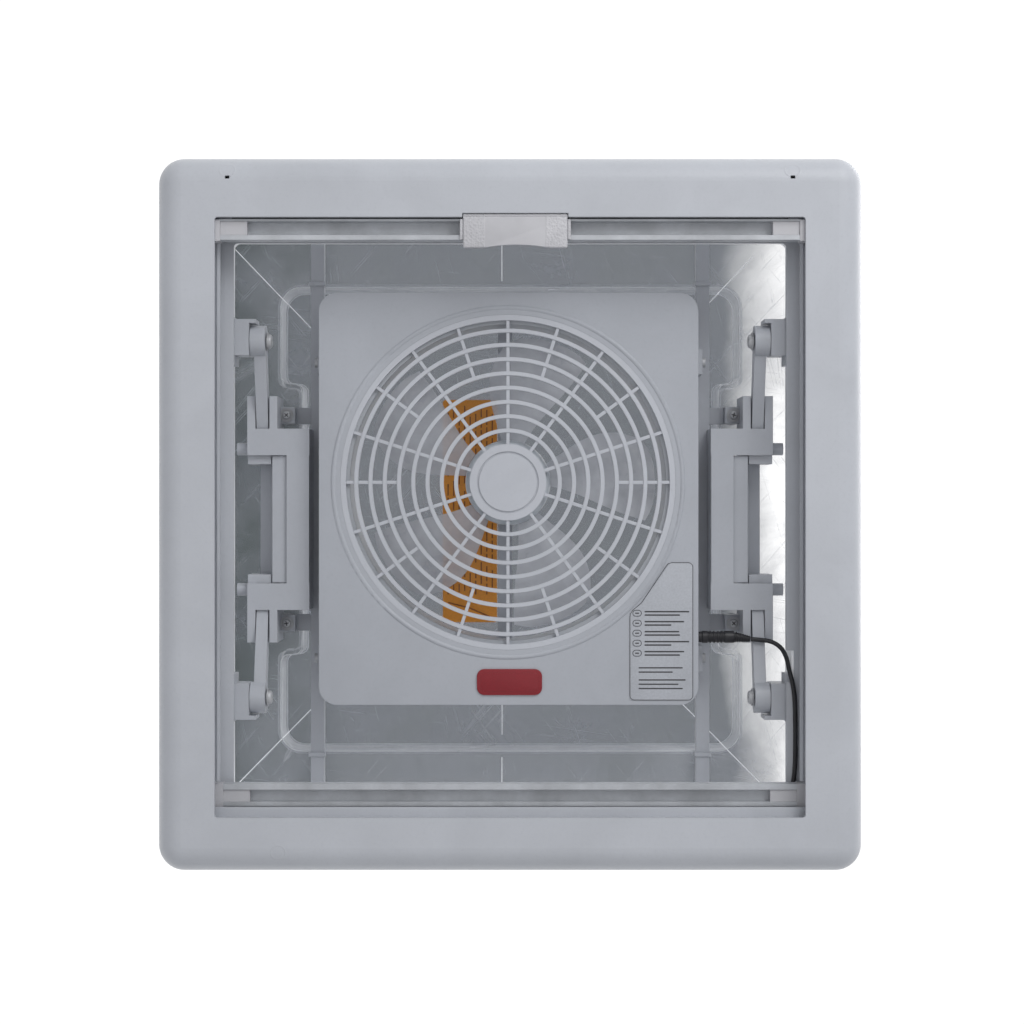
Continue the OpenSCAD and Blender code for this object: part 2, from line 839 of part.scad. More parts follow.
module power_jack() {
  wall = fan_x + fan_w / 2;
  color("black") difference() {
    union() {
      rod_x(wall - 10, wall - fan_wall, jack_y, jack_z, jack_r);
      rod_x(wall - fan_wall - EPS, plug_x[0], jack_y, jack_z, jack_r - 0.6);
    }
    rod_x(wall - 8, plug_x[0] + 1, jack_y, jack_z, 1.4);
  }
}

module lead_plug() {
  color("black") {
    rod_x(plug_x[0], plug_x[1], jack_y, jack_z, jack_r - 0.05);
    rod_x(plug_x[0] - 9, plug_x[0] + 1, jack_y, jack_z, 1.4);
  }
}

module lead_relief() {
  color("black") translate([plug_x[1], jack_y, jack_z])
    rotate([0, 90 + atan((jack_z - lead_z) / 11.6), atan(1.6 / 11.6)])
      cylinder(h = 11.2, r1 = 4, r2 = 2.3);
}

module power_terminal() {
  color("whitesmoke") box([158, block_end], [198.2, 203.5], [run_z - 2, plate_z]);
}

// A tube along a route: one ring of points per place, square to the way there.
function unit(v) = v / norm(v);
function heading(route, i) =
  unit(route[min(i + 1, len(route) - 1)] - route[max(i - 1, 0)]);
function side_of(d) = unit(cross(d, [0, 0, 1]));
function tube_points(route, r, n) = [
  for (i = [0 : len(route) - 1], k = [0 : n - 1])
    let (d = heading(route, i), a = side_of(d), b = cross(d, a), t = 360 * k / n)
      route[i] + r * (cos(t) * a + sin(t) * b)
];
function tube_faces(rings, n) = concat(
  [[for (k = [0 : n - 1]) k]],
  [for (i = [0 : rings - 2], k = [0 : n - 1])
    [i * n + k, (i + 1) * n + k, (i + 1) * n + (k + 1) % n, i * n + (k + 1) % n]],
  [[for (k = [n - 1 : -1 : 0]) (rings - 1) * n + k]]
);

module power_lead() {
  color("black") polyhedron(
    points = tube_points(LEAD, lead_d / 2, LEAD_SIDES),
    faces = tube_faces(len(LEAD), LEAD_SIDES));
}

// ---------- nodes ----------

interior_trim();
base_plate();
side_channel(-1);  // side_channel_left
side_channel(1);  // side_channel_right
flyscreen_cassette();
blackout_cassette();
cassette_end_caps();
roof_frame();
roof_gasket();
dome_seal();
ceiling_screws();
pivot_screws();
power_terminal();
arm_bracket(-1, -1);  // arm_bracket_left_top
arm_bracket(-1, 1);  // arm_bracket_left_bottom
arm_bracket(1, -1);  // arm_bracket_right_top
arm_bracket(1, 1);  // arm_bracket_right_bottom
flyscreen_bar();
flyscreen_bar_ends();
flyscreen_handle();
flyscreen_net();
flyscreen_roller();
blackout_bar();
blackout_bar_ends();
blackout_cloth();
blackout_roller();
dome();
lift_rail(-1);  // lift_rail_left
lift_rail(1);  // lift_rail_right
grip_paddle(-1);  // grip_paddle_left
grip_paddle(1);  // grip_paddle_right
paddle_springs(-1);  // paddle_springs_left
paddle_springs(1);  // paddle_springs_right
dome_screws();
dome_screw_caps();
fan_housing();
fan_back_cover();
fan_duct();
fan_grille();
fan_motor();
motor_strut();
housing_screws();
badge();
housing_label();
dome_label();
power_jack();
lead_plug();
lead_relief();
power_lead();
fan_rotor();
rotor_shaft();
arm(-1, -1);  // arm_left_top
arm(-1, 1);  // arm_left_bottom
arm(1, -1);  // arm_right_top
arm(1, 1);  // arm_right_bottom
arm_pin(-1, -1);  // arm_pin_left_top
arm_pin(-1, 1);  // arm_pin_left_bottom
arm_pin(1, -1);  // arm_pin_right_top
arm_pin(1, 1);  // arm_pin_right_bottom
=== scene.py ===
import json
import math

import bmesh
import bpy
from mathutils import Matrix, Vector


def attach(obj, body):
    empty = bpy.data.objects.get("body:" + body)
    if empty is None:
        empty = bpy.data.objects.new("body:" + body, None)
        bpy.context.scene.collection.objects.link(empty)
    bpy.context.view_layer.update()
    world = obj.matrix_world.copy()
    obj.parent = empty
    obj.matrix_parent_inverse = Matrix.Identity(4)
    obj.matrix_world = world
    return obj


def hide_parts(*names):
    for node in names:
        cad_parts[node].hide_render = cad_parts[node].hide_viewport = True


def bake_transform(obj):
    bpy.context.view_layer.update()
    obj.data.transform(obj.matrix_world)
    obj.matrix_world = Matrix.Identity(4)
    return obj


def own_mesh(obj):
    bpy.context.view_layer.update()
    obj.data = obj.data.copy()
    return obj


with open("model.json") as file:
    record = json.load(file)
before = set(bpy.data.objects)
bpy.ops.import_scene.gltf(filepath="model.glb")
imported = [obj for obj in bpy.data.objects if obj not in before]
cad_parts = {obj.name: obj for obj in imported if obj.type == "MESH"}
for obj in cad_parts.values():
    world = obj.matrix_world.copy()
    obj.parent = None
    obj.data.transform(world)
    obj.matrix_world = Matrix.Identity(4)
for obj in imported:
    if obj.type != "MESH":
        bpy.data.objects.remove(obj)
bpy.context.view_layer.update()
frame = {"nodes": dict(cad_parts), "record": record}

NODES = frame["nodes"]
MM = 0.001
SIDES = (("left", -1), ("right", 1))

# ---------- camera and view ----------

EYE = (1.36 * MM, -5.2 * MM, -1.4)
SENSOR_WIDTH = 36
LENS = 72.55
NEAREST, FARTHEST = 0.01, 50
camera = bpy.data.objects.new("camera", bpy.data.cameras.new("camera"))
bpy.context.scene.collection.objects.link(camera)
camera.location = EYE
camera.rotation_euler = (math.pi, 0, 0)
camera.data.sensor_width = SENSOR_WIDTH
camera.data.lens = LENS
camera.data.clip_start = NEAREST
camera.data.clip_end = FARTHEST
bpy.context.scene.camera = camera
bpy.context.scene.view_settings.view_transform = "Standard"

# ---------- mesh helpers: millimetres until mesh_of ----------

MERGE = 0.0001


def link(name, mesh, material, body=None, stands_for=(), angle=35):
    """Makes an object of a mesh, smooth but for edges sharper than the angle, riding on a body."""
    mesh.materials.append(material)
    mesh.shade_smooth()
    mesh.set_sharp_from_angle(angle=math.radians(angle))
    obj = bpy.data.objects.new(name, mesh)
    bpy.context.scene.collection.objects.link(obj)
    if stands_for:
        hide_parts(*stands_for)
    if body:
        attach(obj, body)
    return obj


def mesh_of(bm, name):
    """Turns a bmesh in millimetres into a clean mesh in metres."""
    bmesh.ops.remove_doubles(bm, verts=bm.verts, dist=MERGE)
    bmesh.ops.recalc_face_normals(bm, faces=bm.faces)
    bmesh.ops.scale(bm, vec=(MM, MM, MM), verts=bm.verts)
    mesh = bpy.data.meshes.new(name)
    bm.to_mesh(mesh)
    bm.free()
    return mesh


def circle(r, n):
    """Points round a circle."""
    return [(r * math.cos(a), r * math.sin(a)) for a in (2 * math.pi * k / n for k in range(n))]


def put(bm, place, points, h):
    """Vertices at flat points, at a height above the place."""
    return [bm.verts.new(place @ Vector((x, y, h))) for x, y in points]


def add_band(bm, low, high):
    """A band of faces between two loops with the same count."""
    n = len(low)
    for i in range(n):
        j = (i + 1) % n
        bm.faces.new((low[i], low[j], high[j], high[i]))


def add_loft(bm, rings):
    """Skins rings of points with the same count and closes both ends."""
    made = [[bm.verts.new(p) for p in ring] for ring in rings]
    for a, b in zip(made, made[1:]):
        add_band(bm, a, b)
    bm.faces.new(list(reversed(made[0])))
    bm.faces.new(made[-1])


def add_box(bm, lo, hi, bevel=0.0):
    """A box between two corners with rounded edges."""
    size = [h - l for l, h in zip(lo, hi)]
    mid = [(h + l) / 2 for l, h in zip(lo, hi)]
    made = bmesh.ops.create_cube(bm, size=1, matrix=Matrix.LocRotScale(mid, None, size))
    if bevel:
        edges = dict.fromkeys(e for v in made["verts"] for e in v.link_edges)
        bmesh.ops.bevel(bm, geom=list(edges), offset=bevel, segments=2,
                        profile=0.5, affect="EDGES", clamp_overlap=True)


def add_prism(bm, outline, z1, z2, bevel=0.0):
    """An outline in X and Y raised from z1 to z2, its rims rounded."""
    low = [bm.verts.new((x, y, z1)) for x, y in outline]
    high = [bm.verts.new((x, y, z2)) for x, y in outline]
    faces = [bm.faces.new(list(reversed(low))), bm.faces.new(high)]
    add_band(bm, low, high)
    if bevel:
        rims = list(faces[0].edges) + list(faces[1].edges)
        bmesh.ops.bevel(bm, geom=rims, offset=bevel, segments=3, profile=0.5,
                        affect="EDGES", clamp_overlap=True)


def add_lathe(bm, profile, place, segments=40):
    """Turns a profile of (radius, height) round the place's Z; radius 0 closes an end."""
    rings = [put(bm, place, circle(r, segments) if r else [(0, 0)], h) for r, h in profile]
    for a, b in zip(rings, rings[1:]):
        if len(a) == len(b) == 1:
            continue
        for i in range(segments):
            j = (i + 1) % segments
            if len(a) == 1:
                bm.faces.new((a[0], b[j], b[i]))
            elif len(b) == 1:
                bm.faces.new((a[i], a[j], b[0]))
            else:
                bm.faces.new((a[i], a[j], b[j], b[i]))


def arc(cx, cy, r, a0, a1, n):
    """Points on an arc between two angles in degrees."""
    return [(cx + r * math.cos(math.radians(a0 + (a1 - a0) * k / n)),
             cy + r * math.sin(math.radians(a0 + (a1 - a0) * k / n))) for k in range(n + 1)]


def rounded(x1, x2, y1, y2, r, n=6):
    """A rectangle with rounded corners, counter-clockwise."""
    return (arc(x2 - r, y2 - r, r, 0, 90, n) + arc(x1 + r, y2 - r, r, 90, 180, n)
            + arc(x1 + r, y1 + r, r, 180, 270, n) + arc(x2 - r, y1 + r, r, 270, 360, n))


def smooth_path(points, per_span=5):
    """A smooth curve through points: straight at the ends, evenly turning between."""
    pts = [Vector(p) for p in points]
    pts = [2 * pts[0] - pts[1], *pts, 2 * pts[-1] - pts[-2]]
    out = []
    for a, b, c, d in zip(pts, pts[1:], pts[2:], pts[3:]):
        for k in range(per_span):
            t = k / per_span
            out.append(0.5 * (2 * b + (c - a) * t + (2 * a - 5 * b + 4 * c - d) * t * t
                              + (3 * b - a - 3 * c + d) * t ** 3))
    return out + [pts[-2]]


def add_tube(bm, path, radius, sides=12):
    """A tube along a path; radius is one number or a function of the share of the way."""
    rings = []
    side = None
    for i, p in enumerate(path):
        way = (path[min(i + 1, len(path) - 1)] - path[max(i - 1, 0)]).normalized()
        if side is None:
            side = way.orthogonal().normalized()
        side = (side - way * side.dot(way)).normalized()
        up = way.cross(side)
        r = radius(i / (len(path) - 1)) if callable(radius) else radius
        rings.append([p + (side * math.cos(a) + up * math.sin(a)) * r
                      for a in (2 * math.pi * k / sides for k in range(sides))])
    add_loft(bm, rings)


def add_loop(bm, path, radius, sides=8):
    """A closed tube along a flat loop."""
    n = len(path)
    rings = []
    for i, p in enumerate(path):
        side = (path[(i + 1) % n] - path[i - 1]).normalized().cross(Vector((0, 0, 1)))
        rings.append([bm.verts.new(p + side * radius * math.cos(a)
                                   + Vector((0, 0, radius * math.sin(a))))
                      for a in (2 * math.pi * k / sides for k in range(sides))])
    for i in range(n):
        add_band(bm, rings[i], rings[(i + 1) % n])


# ---------- materials ----------


class Nodes:
    """A small builder of shader nodes, for a new material's name or for a material."""

    def __init__(self, material):
        if isinstance(material, str):
            material = bpy.data.materials.new(material)
        material.use_nodes = True
        self.material = material
        self.tree = material.node_tree
        self.shader = self.tree.nodes["Principled BSDF"]
        self.place = self.new("ShaderNodeTexCoord").outputs["Object"]

    def new(self, kind, inputs=(), **settings):
        node = self.tree.nodes.new(kind)
        for key, value in settings.items():
            setattr(node, key, value)
        for key, value in dict(inputs).items():
            self.put(node.inputs[key], value)
        return node

    def put(self, socket, value):
        if isinstance(value, bpy.types.NodeSocket):
            self.tree.links.new(value, socket)
        else:
            socket.default_value = value

    def set(self, **values):
        for key, value in values.items():
            self.put(self.shader.inputs[key.replace("_", " ")], value)

    def stretch(self, scale):
        return self.new("ShaderNodeMapping", {"Vector": self.place, "Scale": scale}).outputs[0]

    def noise(self, scale, detail=4, rough=0.55, where=None, warp=0.0):
        return self.new("ShaderNodeTexNoise", {
            "Vector": where or self.place, "Scale": scale, "Detail": detail,
            "Roughness": rough, "Distortion": warp}).outputs["Fac"]

    def cells(self, scale, spread):
        return self.new("ShaderNodeTexVoronoi", {
            "Vector": self.place, "Scale": scale, "Randomness": spread}).outputs["Distance"]

    def ramp(self, value, low, high, to_low=0.0, to_high=1.0):
        return self.new("ShaderNodeMapRange", {
            0: value, 1: low, 2: high, 3: to_low, 4: to_high}, clamp=True).outputs[0]

    def math(self, operation, a, b=0.0):
        return self.new("ShaderNodeMath", {0: a, 1: b}, operation=operation).outputs[0]

    def mix(self, factor, a, b):
        """Mixes two colours, which are this node's inputs 6 and 7 and its output 2."""
        node = self.new("ShaderNodeMix", data_type="RGBA")
        self.put(node.inputs[0], factor)
        self.put(node.inputs[6], a)
        self.put(node.inputs[7], b)
        return node.outputs[2]

    def bump(self, height, strength, distance, under=None):
        inputs = {"Height": height, "Strength": strength, "Distance": distance}
        if under is not None:
            inputs["Normal"] = under
        return self.new("ShaderNodeBump", inputs).outputs[0]


def rgba(colour, factor=1.0):
    return (*[min(1.0, c * factor) for c in colour], 1.0)


def plastic(name, colour, rough=0.45, grain=2200, depth=0.00006, strength=0.25,
            edge=0.0006, edge_highlight_and_wear=0.12, mottle=0.05, specular=0.4, glow=0.0):
    """Moulded plastic: fine grain, soft edges that are a little polished and painted lighter as a
    painted highlight, faint smudges.
    """
    n = Nodes(name)
    smudge = n.noise(14, 5, 0.6, warp=0.6)
    fine = n.noise(grain, 2, 0.5)
    speck = n.noise(420, 3, 0.6)
    tone = n.mix(n.ramp(smudge, 0.35, 0.7), rgba(colour, 1 - mottle), rgba(colour, 1 + mottle * 0.6))
    tone = n.mix(n.ramp(speck, 0.52, 0.8, 0, 0.35), tone, rgba(colour, 0.86))
    soft = n.new("ShaderNodeBevel", {"Radius": edge}, samples=2).outputs[0]
    flat = n.new("ShaderNodeNewGeometry").outputs["Normal"]
    along = n.new("ShaderNodeVectorMath", {0: soft, 1: flat}, operation="DOT_PRODUCT").outputs["Value"]
    # edges found by the bevel are painted lighter, broken up by specks: a painted highlight; they are
    # also a little less rough
    edge_highlight_and_polish = n.math("MULTIPLY", n.ramp(along, 0.995, 0.8), n.ramp(speck, 0.3, 0.65))
    tone = n.mix(n.math("MULTIPLY", edge_highlight_and_polish, edge_highlight_and_wear), tone, rgba(colour, 1.35))
    scuff = n.noise(60, 6, 0.7, n.stretch((1, 6, 2)))
    height = n.math("ADD", fine, n.math("MULTIPLY", scuff, 0.35))
    n.set(Base_Color=tone, Specular_IOR_Level=specular,
          Roughness=n.math("SUBTRACT", n.ramp(smudge, 0.3, 0.75, rough - 0.06, rough + 0.08),
                           n.math("MULTIPLY", edge_highlight_and_polish, 0.08)),
          Normal=n.bump(height, strength, depth, soft))
    # the glow is painted light: the part emits light though it is no lamp
    if glow:
        n.set(Emission_Color=rgba(colour), Emission_Strength=glow)
    return n.material


def metal(name, colour, rough=0.35, scale=(1, 40, 40), strength=0.2, metallic=1.0, edge_highlight_and_wear=0.2):
    """Metal drawn or brushed along one axis, with duller patches."""
    n = Nodes(name)
    lines = n.noise(260, 4, 0.6, n.stretch(scale))
    patch = n.noise(35, 5, 0.65)
    soft = n.new("ShaderNodeBevel", {"Radius": 0.0004}, samples=2).outputs[0]
    tone = n.mix(n.ramp(patch, 0.35, 0.7), rgba(colour, 1 - edge_highlight_and_wear), rgba(colour, 1.1))
    tone = n.mix(n.ramp(lines, 0.45, 0.75, 0, 0.3), tone, rgba(colour, 0.75))
    n.set(Base_Color=tone, Metallic=metallic,
          Roughness=n.ramp(n.math("ADD", lines, patch), 0.6, 1.4, rough - 0.08, rough + 0.14),
          Normal=n.bump(lines, strength, 0.00005, soft))
    return n.material


def rubber(name, colour, rough=0.6, grain=900):
    n = Nodes(name)
    dust = n.noise(30, 5, 0.7)
    fine = n.noise(grain, 3, 0.6)
    n.set(Base_Color=n.mix(n.ramp(dust, 0.5, 0.8, 0, 0.5), rgba(colour), rgba(colour, 2.2)),
          Roughness=n.ramp(dust, 0.3, 0.8, rough - 0.08, rough + 0.15),
          Normal=n.bump(fine, 0.3, 0.0001))
    return n.material


SCRATCHES = (  # turn in degrees, cells in a metre, width, and how much the cells are drawn out
    (-41, 44, 0.011, 0.02), (38, 52, 0.010, 0.025), (82, 60, 0.009, 0.02), (14, 70, 0.009, 0.03))


def acrylic(name, colour=(0.51, 0.53, 0.575), pale=(0.80, 0.82, 0.86)):
    """Clear plastic with a faint haze, fine straight scratches, and steep walls painted paler and
    denser as a painted reflection.
    """
    n = Nodes(name)
    lines = None
    gates = [n.noise(22, 3, 0.65), n.noise(41, 3, 0.65)]
    for k, (turn, scale, width, reach) in enumerate(SCRATCHES):
        # a mapping scales before it turns, so the turn has a mapping of its own
        turned = n.new("ShaderNodeMapping", {
            "Vector": n.place, "Rotation": (0, 0, math.radians(turn))}).outputs[0]
        drawn = n.new("ShaderNodeMapping", {
            "Vector": turned, "Location": (k * 3.1, k * 1.7, 0),
            "Scale": (1, reach, 0.3)}).outputs[0]
        crack = n.new("ShaderNodeTexVoronoi", {"Vector": drawn, "Scale": scale,
                      "Randomness": 1.0}, feature="DISTANCE_TO_EDGE").outputs["Distance"]
        gate = n.ramp(gates[k % 2], 0.5, 0.62 if k < 2 else 0.38)
        line = n.math("MULTIPLY", n.ramp(crack, 0.0, width, 1, 0), gate)
        lines = line if lines is None else n.math("MAXIMUM", lines, line)
    haze = n.noise(13, 6, 0.65, warp=0.5)
    clouds = n.ramp(haze, 0.38, 0.66, 0.16, 0.44)
    # steep walls are painted paler and made more opaque: a painted reflection, the sheen of grazing
    # light
    up = n.new("ShaderNodeSeparateXYZ",
               {0: n.new("ShaderNodeNewGeometry").outputs["Normal"]}).outputs[2]
    steep_wall_sheen = n.ramp(n.math("ABSOLUTE", up), 0.25, 0.98, 0.42, 0)
    solid = n.math("ADD", n.math("ADD", clouds, steep_wall_sheen), n.math("MULTIPLY", lines, 0.2))
    n.set(Base_Color=n.mix(n.math("MAXIMUM", n.math("MULTIPLY", lines, 0.6),
                                  n.math("MULTIPLY", steep_wall_sheen, 1.6)),
                           rgba(colour), rgba(pale)),
          Alpha=n.math("MINIMUM", solid, 0.92), Roughness=n.ramp(haze, 0.3, 0.7, 0.14, 0.3),
          Specular_IOR_Level=0.5,
          Normal=n.bump(n.math("ADD", haze, n.math("MULTIPLY", lines, 0.2)), 0.3, 0.0006))
    return n.material


def translucent(name, colour, alpha, rough=0.25, glow=0.0):
    """Thin moulded plastic that lets some light through, and may have a painted glow that stands in
    for the light it pipes.
    """
    n = Nodes(name)
    cloud = n.noise(30, 4, 0.6)
    fine = n.noise(900, 2, 0.5)
    n.set(Base_Color=n.mix(n.ramp(cloud, 0.3, 0.7), rgba(colour, 0.92), rgba(colour, 1.08)),
          Alpha=n.ramp(cloud, 0.3, 0.7, alpha - 0.06, alpha + 0.06),
          Roughness=n.ramp(cloud, 0.3, 0.7, rough, rough + 0.1),
          Normal=n.bump(fine, 0.2, 0.00005))
    # the glow is painted light: the part emits light though it is no lamp
    if glow:
        n.set(Emission_Color=(0.9, 0.93, 1.0, 1), Emission_Strength=glow)
    return n.material


def weave(name, colour, pitch, holes):
    """Woven cloth: two crossing sets of threads, with holes between them in a net."""
    n = Nodes(name)
    split = n.new("ShaderNodeSeparateXYZ", {0: n.place})
    threads = [n.math("SINE", n.math("MULTIPLY", split.outputs[k], 2 * math.pi / pitch))
               for k in (0, 1)]
    over = n.math("MAXIMUM", *threads)
    uneven = n.noise(25, 4, 0.6)
    tone = n.mix(n.ramp(uneven, 0.3, 0.7), rgba(colour, 0.85), rgba(colour, 1.15))
    # colour painted darker where neither set of threads lies on top: painted shade between the threads
    n.set(Base_Color=n.mix(n.ramp(over, -0.2, 0.9, 0.5, 0), tone, rgba(colour, 0.4)),
          Roughness=n.ramp(uneven, 0.3, 0.7, 0.75, 0.9), Sheen_Weight=0.2,
          Normal=n.bump(over, 0.6, pitch * 0.2))
    if holes:
        n.set(Alpha=n.ramp(over, -0.25, 0.15, 0.35, 1))
    return n.material


def printed(name, colour, rough=0.4):
    """A printed film: flat ink with faint press marks and a soft sheen."""
    n = Nodes(name)
    ink = n.noise(700, 3, 0.6)
    wash = n.noise(22, 4, 0.6)
    n.set(Base_Color=n.mix(n.ramp(n.math("ADD", ink, wash), 0.8, 1.3), rgba(colour, 0.9),
                           rgba(colour, 1.08)),
          Roughness=n.ramp(wash, 0.3, 0.7, rough - 0.05, rough + 0.08),
          Normal=n.bump(ink, 0.15, 0.00004))
    return n.material


def handle_plastic(name, colour, middle, inner, outer):
    """White plastic, smooth round its middle in X and grained like leather on both grips."""
    n = Nodes(name)
    across = n.new("ShaderNodeSeparateXYZ", {0: n.place}).outputs[0]
    off = n.math("ABSOLUTE", n.math("SUBTRACT", across, middle))
    grip = n.ramp(off, inner, outer)
    leather = n.cells(620, 0.9)
    smudge = n.noise(40, 5, 0.6)
    fine = n.noise(2400, 2, 0.5)
    height = n.math("ADD", n.math("MULTIPLY", leather, grip), n.math("MULTIPLY", fine, 0.06))
    tone = n.mix(n.ramp(smudge, 0.35, 0.7), rgba(colour, 0.95), rgba(colour, 1.04))
    tone = n.mix(n.math("MULTIPLY", grip, n.ramp(leather, 0.2, 0.6, 0, 0.25)), tone,
                 rgba(colour, 1.2))
    n.set(Base_Color=tone, Roughness=n.ramp(smudge, 0.3, 0.7, 0.34, 0.46),
          Normal=n.bump(height, 0.7, 0.0005))
    return n.material


THUMB_MARKS = ((-192, -238.3, 5.6), (192, -238.3, 5.6), (-157.5, 226.2, 5.0))  # x, y, radius
MARK_WIDTH = 0.7 * MM


def trim_plastic(name, colour):
    """The trim's plastic, with the shallow round thumb marks over the release slots."""
    n = Nodes(plastic(name, colour, rough=0.42, edge=0.0009))
    marks = None
    for x, y, r in THUMB_MARKS:
        away = n.new("ShaderNodeVectorMath", {0: n.place, 1: (x * MM, y * MM, 0)},
                     operation="DISTANCE").outputs["Value"]
        ring = n.ramp(n.math("ABSOLUTE", n.math("SUBTRACT", away, r * MM)), 0, MARK_WIDTH, 1, 0)
        marks = ring if marks is None else n.math("MAXIMUM", marks, ring)
    before = n.shader.inputs["Normal"].links[0].from_socket
    n.set(Normal=n.bump(marks, 0.35, 0.0005, before))
    return n.material


MATERIALS = {
    "trim_plastic": trim_plastic("trim_plastic_fine", (0.51, 0.53, 0.57)),
    "frame_plastic": plastic("frame_plastic_fine", (0.45, 0.47, 0.51), rough=0.38),
    "fan_plastic": plastic("fan_plastic_fine", (0.42, 0.44, 0.48), rough=0.4),
    "duct_plastic": plastic("duct_plastic_fine", (0.40, 0.42, 0.45), rough=0.5),
    "white_plastic": plastic("white_plastic_fine", (0.52, 0.52, 0.545), rough=0.33),
    "bar_aluminium": metal("bar_aluminium_fine", (0.52, 0.54, 0.57), 0.5, (1, 60, 60),
                           metallic=0.15),
    "net_fabric": weave("net_fabric_fine", (0.16, 0.17, 0.18), 0.0012, True),
    "blackout_fabric": weave("blackout_fabric_fine", (0.70, 0.71, 0.73), 0.0006, False),
    "seal_rubber": rubber("seal_rubber_fine", (0.06, 0.06, 0.065)),
    "steel": metal("steel_fine", (0.50, 0.51, 0.53), 0.45, (8, 8, 8), metallic=0.35),
    "cap_plastic": plastic("cap_plastic_fine", (0.30, 0.31, 0.33), rough=0.4),
    "clear_acrylic": acrylic("clear_acrylic_fine"),
    "rotor_plastic": translucent("rotor_plastic_fine", (0.60, 0.615, 0.655), 0.52),
    "motor_metal": metal("motor_metal_fine", (0.16, 0.17, 0.18), 0.45, (3, 3, 12), metallic=0.4),
    "badge_red": printed("badge_red_fine", (0.24, 0.008, 0.016), 0.3),
    "label_grey": printed("label_grey_fine", (0.45, 0.47, 0.51), 0.38),
    "label_orange": printed("label_orange_fine", (0.85, 0.33, 0.04), 0.38),
    "black_plastic": plastic("black_plastic_fine", (0.02, 0.02, 0.024), rough=0.4, edge_highlight_and_wear=0.3),
    "lead_rubber": rubber("lead_rubber_fine", (0.014, 0.014, 0.017), 0.45, 1500),
}
SLOT_OF = {row["node"]: row["material_slot"] for row in frame["record"]["subparts"]}
# the roof frame's plastic is paler than the other white plastics and glows: painted light on the
# frame's inner wall
FRAME_WHITE_PAINTED_LIGHT = plastic("roof_frame_white_painted_light", (0.80, 0.81, 0.83), rough=0.35, glow=0.12)
GRILLE = plastic("grille_plastic", (0.51, 0.53, 0.575), rough=0.36)
LOOKS = {name: MATERIALS[slot] for name, slot in SLOT_OF.items()}
LOOKS.update({name: MATERIALS["frame_plastic"] for name in SLOT_OF if name.startswith("arm_pin")},
             roof_frame=FRAME_WHITE_PAINTED_LIGHT, fan_grille=GRILLE)
for name, obj in NODES.items():
    for holder in obj.material_slots:
        holder.material = LOOKS[name]
# the dark ink prints the label bars and is also painted shade in the dome screws' recesses
INK_AND_PAINTED_SHADE = printed("dark_ink_and_painted_shade", (0.05, 0.05, 0.055))
BRIGHT_INK = printed("brown_ink", (0.30, 0.10, 0.02))

# ---------- power lead ----------

LEAD = [
    (169.5, 84.3, 52.5), (176, 84.8, 52.5), (182.9, 85.8, 52), (188, 88.3, 50.5),
    (191.4, 92, 47.5), (193.4, 97.5, 42.5), (194, 103, 37), (194.8, 108, 33.6),
    (196, 113.5, 32.1), (197.2, 121, 32), (197.8, 132, 32), (198, 150, 32),
    (197.8, 168, 32), (196.5, 182, 32), (193.5, 191, 32), (188, 198, 32), (181, 200.8, 32),
    (172, 200.8, 32)]
LEAD_D = 3.2
route = smooth_path(LEAD, 4)
route = smooth_path(LEAD, 4)
bm = bmesh.new()
add_tube(bm, route, LEAD_D / 2)
lead = link("power_lead_sheath", mesh_of(bm, "power_lead_sheath"), MATERIALS["lead_rubber"],
            stands_for=["power_lead"])
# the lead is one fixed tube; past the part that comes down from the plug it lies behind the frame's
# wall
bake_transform(lead)

# ---------- blinds: net, cloth and handle ----------

BLIND_HALF = 190
BLIND_COLUMNS, BLIND_ROWS = 38, 10
BLIND_SAG = 0.15


def strip(name, y_fixed, y_moving, z, thick, slot, node):
    """A stretch of blind between its roller and its bar, sagging a little between them."""
    bm = bmesh.new()
    xs = [-BLIND_HALF + 2 * BLIND_HALF * i / BLIND_COLUMNS for i in range(BLIND_COLUMNS + 1)]
    rings = []
    for k in range(BLIND_ROWS + 1):
        y = y_fixed + (y_moving - y_fixed) * k / BLIND_ROWS
        low = z - BLIND_SAG * math.sin(math.pi * k / BLIND_ROWS)
        rings.append([(x, y, low - thick / 2) for x in xs]
                     + [(x, y, low + thick / 2) for x in reversed(xs)])
    add_loft(bm, rings)
    obj = link(name, mesh_of(bm, name), MATERIALS[slot], stands_for=[node])
    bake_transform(obj)


strip("flyscreen_net_strip", -218.2, -204.5, 9.5, 0.3, "net_fabric", "flyscreen_net")
strip("blackout_cloth_strip", 214.4, 197, 24, 0.4, "blackout_fabric", "blackout_cloth")

HANDLE_X = 3.6
HANDLE_HALF = 35.5
HANDLE_TOP, HANDLE_LOW = -205.8, -184.7
HANDLE_ROUND = 1.2
HANDLE_FACE = (1.2, 3.7)
ARCH_X, ARCH_HALF, ARCH_TALL = HANDLE_X + 0.8, 22.5, 2.1
HANDLE_BOXES = (  # half width, then Y, Z and bevel: lip over the bar, its step, grip, block
    (HANDLE_HALF, (-207.6, -205.9), (1.0, 2.8), 0.6),
    (HANDLE_HALF, (-206.3, -204.4), (1.4, 2.6), 0.2),
    (HANDLE_HALF - 0.4, (-190.2, -188.0), (3.5, 13), 0.6),
    (HANDLE_HALF, (-203.0, -193.7), (3.5, 11.9), 0.3))
TAB_REACH = (35.7, 37.7)


